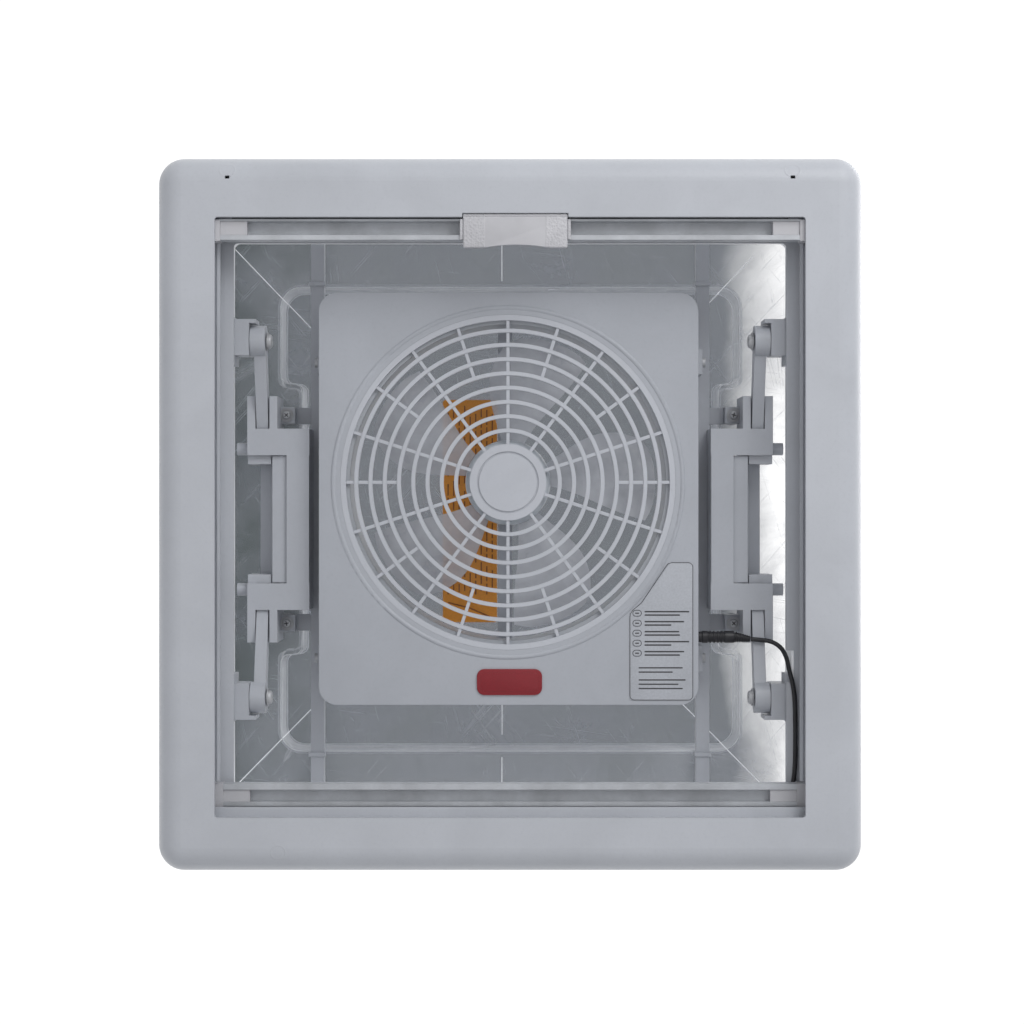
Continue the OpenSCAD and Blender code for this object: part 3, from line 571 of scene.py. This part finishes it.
def handle_outline():
    """The handle's face: straight on top, with a shallow arch in its lower edge."""
    x1, x2 = HANDLE_X - HANDLE_HALF, HANDLE_X + HANDLE_HALF
    a1, a2 = ARCH_X - ARCH_HALF, ARCH_X + ARCH_HALF
    top, low, r, n = HANDLE_TOP, HANDLE_LOW, HANDLE_ROUND, 24
    curve = [(a2 + (a1 - a2) * k / n,
              low - ARCH_TALL * math.sin(math.pi * k / n) ** 0.8) for k in range(n + 1)]
    return (arc(x1 + r, top + r, r, 180, 270, 3) + arc(x2 - r, top + r, r, 270, 360, 3)
            + arc(x2 - r, low - r, r, 0, 90, 3) + curve + arc(x1 + r, low - r, r, 90, 180, 3))


bm = bmesh.new()
add_prism(bm, handle_outline(), *HANDLE_FACE, 0.9)
for half, (y1, y2), (z1, z2), bevel in HANDLE_BOXES:
    add_box(bm, (HANDLE_X - half, y1, z1), (HANDLE_X + half, y2, z2), bevel)
for s in (-1, 1):
    x1, x2 = sorted(HANDLE_X + s * reach for reach in TAB_REACH)
    add_box(bm, (x1, -204.4, 2.0), (x2, -190.4, 3.5), 0.4)
link("flyscreen_pull_handle", mesh_of(bm, "flyscreen_pull_handle"),
     handle_plastic("handle_white", (0.52, 0.52, 0.545), HANDLE_X * MM, 0.0205, 0.0212),
     "flyscreen_pull", ["flyscreen_handle"])

# ---------- dome ----------

PLATEAU = (169.5, 171.3)  # half widths
PLATEAU_ROUND = 18
POCKET = (154, 95.5)  # the plateau's sides are drawn in to here, over this half length
POCKET_ROUND = 6.0
SKIRT = 225.0
SKIRT_ROUND = 36
SHELF_ROUND = 4
SHELF_BEND = 125  # where the shelf's points stop following the pocket
SKIRT_LEVELS = (76, 84, 92)
SHELF, TOP = 103, 135
DOME_WALL = 3
PLATEAU_DRAFT = 0.6
SIDE, BEND, RISE, ROUND, END = 12, 10, 6, 8, 10  # steps along each stretch of an outline


def plateau_outline(inset):
    """A quarter of the plateau with its side pocket; its points match skirt_outline's."""
    hx, hy = PLATEAU[0] - inset, PLATEAU[1] - inset
    px, py = POCKET[0] - inset, POCKET[1] + inset
    r, f = PLATEAU_ROUND - inset, POCKET_ROUND
    quarter = [(px, k * py / SIDE) for k in range(SIDE - 1)]
    quarter += arc(px + f, py - f, f, 180, 90, BEND // 2 - 1)
    quarter += arc(hx - f, py + f, f, 270, 360, BEND // 2 - 1)
    quarter += [(hx, py + f + (hy - r - py - f) * k / RISE) for k in range(1, RISE)]
    quarter += arc(hx - r, hy - r, r, 0, 90, ROUND)
    quarter += [((hx - r) * (1 - k / END), hy) for k in range(1, END + 1)]
    return quarter


def skirt_outline(half, r):
    """The same count of points on the rounded square outside the plateau."""
    quarter = [(half, k * POCKET[1] / SIDE) for k in range(SIDE - 1)]
    start = POCKET[1] * (SIDE - 2) / SIDE
    quarter += [(half, start + (SHELF_BEND - start) * (k + 1) / (BEND + 2)) for k in range(BEND)]
    step = start + (SHELF_BEND - start) * BEND / (BEND + 2)
    quarter += [(half, step + (half - r - step) * k / RISE) for k in range(1, RISE)]
    quarter += arc(half - r, half - r, r, 0, 90, ROUND)
    quarter += [((half - r) * (1 - k / END), half) for k in range(1, END + 1)]
    return quarter


def all_round(quarter, z):
    """Mirrors a quarter outline, from the +X axis to the +Y axis, into a whole ring."""
    second = [(-x, y) for x, y in reversed(quarter)][1:]
    half = quarter + second
    whole = half + [(x, -y) for x, y in reversed(half)][1:-1]
    return [(x, y, z) for x, y in whole]


def blend_rings(a, b, t, z):
    return [(p[0] + (q[0] - p[0]) * t, p[1] + (q[1] - p[1]) * t, z) for p, q in zip(a, b)]


def dome_skin(wall):
    """Rings from the skirt's lower rim to the plateau's rim, for one face of the shell."""
    half, shelf, top = SKIRT - wall, SHELF - wall, TOP - wall
    r = SKIRT_ROUND - wall
    foot = shelf - SHELF_ROUND
    rings = [all_round(skirt_outline(half, r), z) for z in (*SKIRT_LEVELS, foot)]
    for k in range(1, 5):
        a = math.radians(90 * k / 4)
        inward = SHELF_ROUND * (1 - math.cos(a))
        rings.append(all_round(skirt_outline(half - inward, r - inward),
                               foot + SHELF_ROUND * math.sin(a)))
    base = all_round(plateau_outline(wall), shelf)
    edge = rings[-1]
    for t in (0.25, 0.5, 0.75, 0.95):
        rings.append(blend_rings(edge, base, t, shelf))
    rings.append(all_round(plateau_outline(wall + 0.3), shelf + 0.6))
    fillet = 4 - 0.9 * wall
    side = wall + PLATEAU_DRAFT
    for z in (shelf + 6, shelf + 14, top - fillet):
        rings.append(all_round(plateau_outline(side), z))
    for k in range(1, 6):
        a = math.radians(90 * k / 5)
        rings.append(all_round(plateau_outline(side + 0.9 * fillet * (1 - math.cos(a))),
                               top - fillet * (1 - math.sin(a))))
    return rings


bm = bmesh.new()
outer = [[bm.verts.new(p) for p in ring] for ring in dome_skin(0)]
inner = [[bm.verts.new(p) for p in ring] for ring in dome_skin(DOME_WALL)]
for a, b in zip(outer, outer[1:]):
    add_band(bm, a, b)
bm.faces.new(outer[-1])
for a, b in zip(inner, inner[1:]):
    add_band(bm, b, a)
bm.faces.new(list(reversed(inner[-1])))
for i in range(len(outer[0])):
    bm.faces.new((outer[0][i], outer[0][i - 1], inner[0][i - 1], inner[0][i]))
link("dome_shell", mesh_of(bm, "dome_shell"), MATERIALS["clear_acrylic"], "dome_assembly",
     ["dome"], 28)

# fine raised lines moulded on the inside of the dome: four hips and a middle line
UNDER_SHELF, UNDER_TOP = 99.9, 131.8
HIP_R, MIDDLE_R, MIDDLE_X = 0.34, 0.3, -6.0
HIP_STEPS = 400
HIPS = (  # each from the corner of the shelf to a place on the plateau
    ((-199.7, -196.0), (-148.0, -141.9)), ((176.5, -191.0), (142.5, -155.0)),
    ((-197.0, 191.5), (-145.5, 139.0)), ((182.0, 192.0), (124.5, 134.0)))
MIDDLES = ((-219, -173, UNDER_SHELF), (173, 219, UNDER_SHELF), (-160, 160, UNDER_TOP))


def in_plateau(p, inset):
    """True inside the plateau's rounded square, drawn in by the inset."""
    r = PLATEAU_ROUND - inset
    out_x = max(abs(p.x) - (PLATEAU[0] - inset - r), 0)
    out_y = max(abs(p.y) - (PLATEAU[1] - inset - r), 0)
    return math.hypot(out_x, out_y) < r


def hip_path(outside, inside):
    """From the shelf, up the plateau's wall where the line meets it, and on under its top."""
    line = [outside.lerp(inside, k / HIP_STEPS) for k in range(HIP_STEPS + 1)]
    foot = next(p for p in line if in_plateau(p, 3.2))
    low = [outside, outside.lerp(foot, 0.5), foot]
    high = [foot.lerp(inside, 0.08), foot.lerp(inside, 0.5), inside]
    return ([p + Vector((0, 0, UNDER_SHELF)) for p in low]
            + [p + Vector((0, 0, UNDER_TOP)) for p in high])


bm = bmesh.new()
for ends in HIPS:
    add_tube(bm, hip_path(*(Vector((x, y, 0)) for x, y in ends)), HIP_R, 8)
for y1, y2, z in MIDDLES:
    add_tube(bm, [Vector((MIDDLE_X, y1 + (y2 - y1) * t, z)) for t in (0, 0.5, 1)], MIDDLE_R, 8)
# the ribs are near white, nearly opaque and glowing: painted highlight along the creases
link("dome_ribs", mesh_of(bm, "dome_ribs"),
     translucent("rib_painted_highlight", (0.93, 0.94, 0.95), 0.85, 0.2, 0.18), "dome_assembly")

# the plateau's two moulded edges: inset, height and radius
PLATEAU_EDGES = ((2.8, 99.9, 0.34), (4.3, 131.7, 0.36))
bm = bmesh.new()
for inset, z, r in PLATEAU_EDGES:
    add_loop(bm, [Vector(p) for p in all_round(plateau_outline(inset), z)], r)
# the edges are paler and denser than the dome and glow faintly: painted highlight along them
link("dome_plateau_edges", mesh_of(bm, "dome_plateau_edges"),
     translucent("plateau_edge_painted_highlight", (0.8, 0.82, 0.85), 0.7, 0.2, 0.04), "dome_assembly")

# ---------- dome label and badge ----------

DOME_LABEL = (-49.9, -9.8, -88.3, 76.5)
DOME_LABEL_Z = 131.5
DOME_INK_Z = (131.2, DOME_LABEL_Z)
LINE_COLUMNS, LINE_PITCH, LINE_WIDTH, LINE_END = 9, 4.1, 0.9, 56
BADGE = ((-23.2, 22.4, 104.8, 123.0), (-20.6, 19.8, 107.4, 120.4))  # its rim and its raised face

bm = bmesh.new()
add_prism(bm, rounded(*DOME_LABEL, 2, 4), DOME_LABEL_Z, 131.9, 0.08)
link("dome_label_film", mesh_of(bm, "dome_label_film"), MATERIALS["label_orange"],
     "dome_assembly", ["dome_label"])


def add_label_lines(bm):
    """Columns of plain bars in the place of writing, with a gap after every sixth bar."""
    z1, z2 = DOME_INK_Z
    for column in range(LINE_COLUMNS):
        x = -46.5 + column * LINE_PITCH
        y = -84 + 3 * (column % 3)
        step = 0
        while y < LINE_END - 2:
            length = 3.4 + 2.6 * ((step * 7 + column * 5) % 4)
            add_box(bm, (x, y, z1), (x + LINE_WIDTH, min(y + length, LINE_END), z2))
            y += length + 1.7 + (4 if step % 6 == 5 else 0)
            step += 1


bm = bmesh.new()
add_label_lines(bm)
add_tube(bm, [Vector((x, y, 131.35)) for x, y in ((-46, 62), (-30, 66), (-14, 73))], 0.5, 6)
link("dome_label_lines", mesh_of(bm, "dome_label_lines"), BRIGHT_INK, "dome_assembly")

bm = bmesh.new()
add_prism(bm, rounded(*BADGE[0], 5, 8), 44.8, 46.0, 0.45)
add_prism(bm, rounded(*BADGE[1], 3, 6), 44.55, 44.9, 0.2)
link("fan_badge", mesh_of(bm, "fan_badge"), MATERIALS["badge_red"], "dome_assembly",
     ["badge"])

# the label on the fan housing: a thin film with plain bars and an outline, no writing
FILM = [(128, 30.3), (128, 126.5), (84, 126.5), (84, 65), (92.5, 58.5), (112, 30.3)]
FILM_Z = (45.6, 46.0)
OUTLINE_Z = 45.56
BAR_Z = (45.5, 45.62)
OVAL_ROWS, OVAL_PITCH = 5, 7.0
LONG_BARS = ((103.5, 121), (106.5, 114), (112, 123), (115, 118), (118, 121))  # y and right end


def add_bar(bm, x1, x2, y1, y2, r=0.4):
    """A flat printed bar with rounded ends."""
    add_prism(bm, rounded(x1, x2, y1, y2, r, 2), *BAR_Z)


def at_outline(points):
    """Flat points at the height of the label's outline."""
    return [Vector((*p, OUTLINE_Z)) for p in points]


bm = bmesh.new()
add_prism(bm, FILM, *FILM_Z, 0.1)
link("housing_label_film", mesh_of(bm, "housing_label_film"), MATERIALS["label_grey"],
     "dome_assembly", ["housing_label"])
bm = bmesh.new()
outline = (arc(125, 33.3, 3, 270, 360, 5) + arc(125, 123.5, 3, 0, 90, 5)
           + arc(87, 123.5, 3, 90, 180, 5) + [(84, 68), (84.4, 66), (86, 63.6), (92, 58.6)]
           + [(109, 33.2), (110.6, 31.1), (113, 30.3)])
add_loop(bm, at_outline(outline), 0.2, 6)
for k in range(OVAL_ROWS):
    y = 63.6 + k * OVAL_PITCH
    add_loop(bm, at_outline(rounded(86, 92, y, y + 4.2, 2.05, 5)), 0.22, 6)
    add_bar(bm, 87.6, 90.4, y + 1.7, y + 2.5, 0.3)
    add_bar(bm, 94.2, 125.5 - 3.5 * (k % 3), y + 0.5, y + 1.5)
    add_bar(bm, 94.2, 119 - 6 * (k % 2), y + 2.9, y + 3.9)
for y, x2 in LONG_BARS:
    add_bar(bm, 90, x2, y, y + 0.9)
link("housing_label_bars", mesh_of(bm, "housing_label_bars"), INK_AND_PAINTED_SHADE, "dome_assembly")

# ---------- fan rotor ----------

FAN = (-1.5, -26.0)
HUB_R, TIP_R = 28.0, 104.0
BLADES, BLADE_START = 5, -11  # the first blade's angle in degrees
BLADE_T, BLADE_Z = 1.6, 62.5
BLADE_ROWS, BLADE_COLUMNS = 14, 10
HUB_PROFILE = [(0, 54), (2.5, 54), (2.5, 52.4), (9, 52), (24, 52), (27.5, 52.8), (29.3, 54.6),
               (30, 57.5), (30, 72), (27.6, 72), (27.6, 58.8), (26.6, 57.8), (0, 57.8)]


def blade_point(base, f, u, side):
    """A place on a blade's skin: f from hub to tip, u across it from -1 to 1, side -1 or 1."""
    r = HUB_R - 2 + (TIP_R - HUB_R + 2) * f
    half = math.radians(24 - 7.5 * f + 6 * math.sin(math.pi * f)) * (0.62 + 0.38 * f)
    lean = math.radians(10 * f * f)
    a = base + lean + u * half
    tip = 1 - 0.035 * (abs(u) ** 3) * f
    pitch = (0.34 - 0.14 * f) * u * half * r
    camber = 2.4 * (1 - u * u) * (0.4 + 0.6 * f)
    z = BLADE_Z - pitch - camber + side * BLADE_T / 2 * (1 - 0.5 * u * u)
    return (FAN[0] + r * tip * math.cos(a), FAN[1] + r * tip * math.sin(a), z)


def add_blade(bm, base):
    """One blade: two skins on a grid of points, closed round their edges."""
    rows, columns = BLADE_ROWS, BLADE_COLUMNS
    low, high = ([[bm.verts.new(blade_point(base, i / rows, -1 + 2 * j / columns, side))
                   for j in range(columns + 1)] for i in range(rows + 1)] for side in (-1, 1))
    for i in range(rows):
        for j in range(columns):
            bm.faces.new((low[i][j], low[i][j + 1], low[i + 1][j + 1], low[i + 1][j]))
            bm.faces.new((high[i][j], high[i + 1][j], high[i + 1][j + 1], high[i][j + 1]))
    for j in range(columns):
        bm.faces.new((low[0][j], high[0][j], high[0][j + 1], low[0][j + 1]))
        bm.faces.new((low[rows][j], low[rows][j + 1], high[rows][j + 1], high[rows][j]))
    for i in range(rows):
        bm.faces.new((low[i][0], low[i + 1][0], high[i + 1][0], high[i][0]))
        bm.faces.new((low[i][columns], high[i][columns], high[i + 1][columns],
                      low[i + 1][columns]))


bm = bmesh.new()
for k in range(BLADES):
    add_blade(bm, math.radians(BLADE_START - 360 // BLADES * k))
link("rotor_blades", mesh_of(bm, "rotor_blades"), MATERIALS["rotor_plastic"], "rotor",
     ["fan_rotor"])
bm = bmesh.new()
add_lathe(bm, HUB_PROFILE, Matrix.Translation((*FAN, 0)), 64)
link("rotor_hub", mesh_of(bm, "rotor_hub"), plastic("rotor_hub_plastic", (0.56, 0.6, 0.64), 0.35),
     "rotor")

# ---------- springs, screws and plug ----------

SPRING_TURNS, TURN_STEPS = 9, 16
SPRING_X = (146.9, 165.8)
SPRING_Y, SPRING_Z = 16, 75
SPRING_R, WIRE_R = 2.35, 0.42


def along_x(x, y, z, s):
    """A place whose Z points along +X or -X."""
    return Matrix.Translation((x, y, z)) @ Matrix.Rotation(math.radians(90 * s), 4, "Y")


def coil(s, y):
    """The path of a spring's wire along X, on the side s."""
    x1, x2 = SPRING_X
    path = []
    for k in range(SPRING_TURNS * TURN_STEPS + 1):
        t = k / (SPRING_TURNS * TURN_STEPS)
        a = 2 * math.pi * SPRING_TURNS * t
        path.append(Vector((s * (x1 + (x2 - x1) * t), y + SPRING_R * math.cos(a),
                            SPRING_Z + SPRING_R * math.sin(a))))
    return path


for side, s in SIDES:
    bm = bmesh.new()
    for y in (-SPRING_Y, SPRING_Y):
        add_tube(bm, coil(s, y), WIRE_R, 8)
    spring = link(f"paddle_coils_{side}", mesh_of(bm, f"paddle_coils_{side}"), MATERIALS["steel"],
                  f"{side}_paddle", [f"paddle_springs_{side}"])
    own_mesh(spring)


def cross_outline(reach, arm):
    """A cross with arms that reach out from the middle."""
    cross = []
    for q in range(4):
        a = math.pi / 2 * q
        for x, y in ((reach, -arm), (reach, arm), (arm, arm)):
            cross.append((x * math.cos(a) - y * math.sin(a), x * math.sin(a) + y * math.cos(a)))
    return cross


def add_screw(bm, place, head_r, head_h, shaft_r, length, washer):
    """A pan-head screw with a cross recess and a ringed washer; its head points along -Z."""
    add_lathe(bm, [(0, 0), (shaft_r, 0), (shaft_r, length - 1), (shaft_r - 0.6, length),
                   (0, length)], place, 24)
    cross = cross_outline(head_r * 0.62, head_r * 0.13)
    top = put(bm, place, cross, -head_h)
    deep = put(bm, place, [(x * 0.8, y * 0.8) for x, y in cross], -head_h * 0.35)
    add_band(bm, top, deep)
    bm.faces.new(deep)
    profile = [(head_r * 0.72, -head_h), (head_r * 0.9, -head_h * 0.82), (head_r, -head_h * 0.45),
               (head_r, 0)]
    rings = [put(bm, place, circle(r, 32), h) for r, h in profile]
    for a, b in zip(rings, rings[1:]):
        add_band(bm, a, b)
    bm.faces.new(rings[-1])
    edges = []
    for loop in (top, rings[0]):
        for a, b in zip(loop, loop[1:] + loop[:1]):
            edges.append(bm.edges.get((a, b)) or bm.edges.new((a, b)))
    bmesh.ops.triangle_fill(bm, edges=edges, use_beauty=True)
    add_lathe(bm, washer_profile(head_r, washer), place, 36)


def washer_profile(head_r, washer_r, grooves=3, under=0.5, face=-0.3):
    """A flat washer with round grooves between the screw's head and its own edge."""
    hole = head_r * 0.7
    profile = [(hole, under), (hole, face)]
    for k in range(grooves):
        r = head_r + (washer_r - head_r) * (k + 0.5) / grooves
        profile += [(r - 0.12, face), (r, 0.1), (r + 0.12, face)]
    return profile + [(washer_r, face), (washer_r, under), (hole, under)]


def add_recess_shade(bm, place, head_r, head_h):
    """A dark cross of painted shade inside a screw's head, where its recess is."""
    reach, arm = head_r * 0.6, head_r * 0.125
    for turned in (0, math.pi / 2):
        spot = place @ Matrix.Rotation(turned, 4, "Z")
        bmesh.ops.create_cube(bm, size=1, matrix=spot @ Matrix.LocRotScale(
            (0, 0, -head_h * 0.62), None, (2 * reach, 2 * arm, head_h * 0.5)))


CORNERS = [(sx, sy) for sx in (-1, 1) for sy in (-1, 1)]
DOME_SCREW_AT = (160.7, 74.8, 83.2)
DOME_HEAD = (2.9, 1.6)  # radius and height
PIVOT_AT = (170.0, 125, 50)
PIVOT_HEAD = (5.0, 2.9)

bm, recess_shade_mesh = bmesh.new(), bmesh.new()
for sx, sy in CORNERS:
    x, y, z = DOME_SCREW_AT
    spot = (Matrix.Translation((sx * x, sy * y, z))
            @ Matrix.Rotation(0.5 * sx + 0.3 * sy, 4, "Z"))
    add_screw(bm, spot, *DOME_HEAD, 2.0, 22, 5.0)
    add_recess_shade(recess_shade_mesh, spot, *DOME_HEAD)
link("dome_screw_set", mesh_of(bm, "dome_screw_set"), MATERIALS["steel"], "dome_assembly",
     ["dome_screws"])
# the dark crosses are painted shade in the screws' recesses
link("dome_screw_recess_shade", mesh_of(recess_shade_mesh, "dome_screw_recess_shade"), INK_AND_PAINTED_SHADE, "dome_assembly")

bm = bmesh.new()
for sx, sy in CORNERS:
    x, y, z = PIVOT_AT
    add_screw(bm, along_x(sx * x, sy * y, z, sx), *PIVOT_HEAD, 3.0, 23.4, 6.3)
link("pivot_screw_set", mesh_of(bm, "pivot_screw_set"), MATERIALS["steel"], "frame",
     ["pivot_screws"])

# plug and strain relief with their moulded rings
PLUG_AT = (134.8, 82.7, 52.9)
PLUG_R, PLUG_RINGS, RING_PITCH = 4.3, 5, 2.6
RELIEF_FROM, RELIEF_TO = Vector((157.9, 82.7, 52.9)), Vector((169.0, 84.22, 52.52))
RELIEF_RIBS, RELIEF_STEPS = 7, 70


def plug_profile():
    """The pin, the plug's body with its grooves, and its far end."""
    profile = [(0, -9), (1.2, -9), (1.4, -8.6), (1.4, -0.1), (3.9, 0), (PLUG_R, 0.5)]
    for k in range(PLUG_RINGS):
        h = 4 + k * RING_PITCH
        profile += [(PLUG_R, h), (3.8, h + 0.5), (3.8, h + 1.3), (PLUG_R, h + 1.8)]
    return profile + [(PLUG_R, 22.2), (3.9, 23.1), (0, 23.1)]


def relief_r(t):
    """Tapers from the plug to the lead, with rings that get smaller."""
    body = 3.5 - 1.6 * t
    wave = (t * RELIEF_RIBS) % 1
    return body + (0.55 * (1 - 0.5 * t) if wave > 0.45 and t < 0.97 else 0)


bm = bmesh.new()
add_lathe(bm, plug_profile(), along_x(*PLUG_AT, 1), 36)
link("lead_plug_moulded", mesh_of(bm, "lead_plug_moulded"), MATERIALS["black_plastic"],
     "dome_assembly", ["lead_plug"])
bm = bmesh.new()
path = [RELIEF_FROM.lerp(RELIEF_TO, k / RELIEF_STEPS) for k in range(RELIEF_STEPS + 1)]
add_tube(bm, path, relief_r, 24)
link("lead_relief_moulded", mesh_of(bm, "lead_relief_moulded"), MATERIALS["black_plastic"],
     "dome_assembly", ["lead_relief"])

# ---------- stage and light ----------


def card(name, z, width, material):
    """A flat square sheet outside the object, for the floor and the backdrops."""
    bm = bmesh.new()
    bmesh.ops.create_grid(bm, x_segments=1, y_segments=1, size=0.5)
    mesh = bpy.data.meshes.new(name)
    bm.to_mesh(mesh)
    bm.free()
    mesh.materials.append(material)
    obj = bpy.data.objects.new(name, mesh)
    obj.scale = (width, width, 1)
    obj.location = (0, 0, z)
    bpy.context.scene.collection.objects.link(obj)


def glow(name, colour, strength):
    material = bpy.data.materials.new(name)
    material.use_nodes = True
    shader = material.node_tree.nodes["Principled BSDF"]
    shader.inputs["Base Color"].default_value = (0, 0, 0, 1)
    shader.inputs["Emission Color"].default_value = rgba(colour)
    shader.inputs["Emission Strength"].default_value = strength
    return material


def sky_card(name):
    """The view through the dome: dim and greenish at one side, bright at the other."""
    n = Nodes(name)
    across = n.new("ShaderNodeSeparateXYZ", {0: n.place})
    cloud = n.noise(3.2, 4, 0.6)
    level = n.math("ADD", across.outputs[0], n.math("MULTIPLY", n.math("SUBTRACT", cloud, 0.5), 0.12))
    dim, mid, lit = (0.02, 0.03, 0.028, 1), (0.10, 0.11, 0.118, 1), (1.0, 1.0, 1.0, 1)
    tone = n.mix(n.ramp(level, -0.43, -0.27), dim, mid)
    tone = n.mix(n.ramp(level, 0.345, 0.445), tone, lit)
    n.set(Base_Color=(0, 0, 0, 1), Emission_Color=tone, Emission_Strength=1.5)
    return n.material

WIDE = 30
SKY_WIDTH = 1.16
BACKDROP_Z, SKY_Z, FLOOR_Z = 2.7, 2.45, -1.62
card("backdrop", BACKDROP_Z, WIDE, glow("backdrop_white", (1, 1, 1), 1.05))
card("sky_gradient", SKY_Z, SKY_WIDTH, sky_card("sky_gradient_light"))
card("floor", FLOOR_Z, WIDE, plastic("floor_matt", (0.53, 0.53, 0.54), rough=0.8, grain=40, edge_highlight_and_wear=0))

WORLD_COLOUR, WORLD_STRENGTH = (0.93, 0.96, 1.0, 1), 0.42
world = bpy.data.worlds.new("studio")
world.use_nodes = True
world.node_tree.nodes["Background"].inputs[0].default_value = WORLD_COLOUR
world.node_tree.nodes["Background"].inputs[1].default_value = WORLD_STRENGTH
bpy.context.scene.world = world


def lamp(name, place, aim, size, power):
    """A square soft area light that points at a place on the object."""
    data = bpy.data.lights.new(name, "AREA")
    data.shape = "RECTANGLE"
    data.size, data.size_y = size, size
    data.energy = power
    obj = bpy.data.objects.new(name, data)
    obj.location = place
    obj.rotation_euler = (Vector(aim) - Vector(place)).to_track_quat("-Z", "Y").to_euler()
    bpy.context.scene.collection.objects.link(obj)


lamp("front", (0.05, -0.1, -1.52), (0, 0, 0.03), 1.1, 0.7)
lamp("key", (0.75, -1.1, -1.0), (0, 0, 0.03), 0.9, 12.5)
lamp("outside", (1.3, -0.5, 1.2), (0.1, 0, 0.1), 1.4, 12)
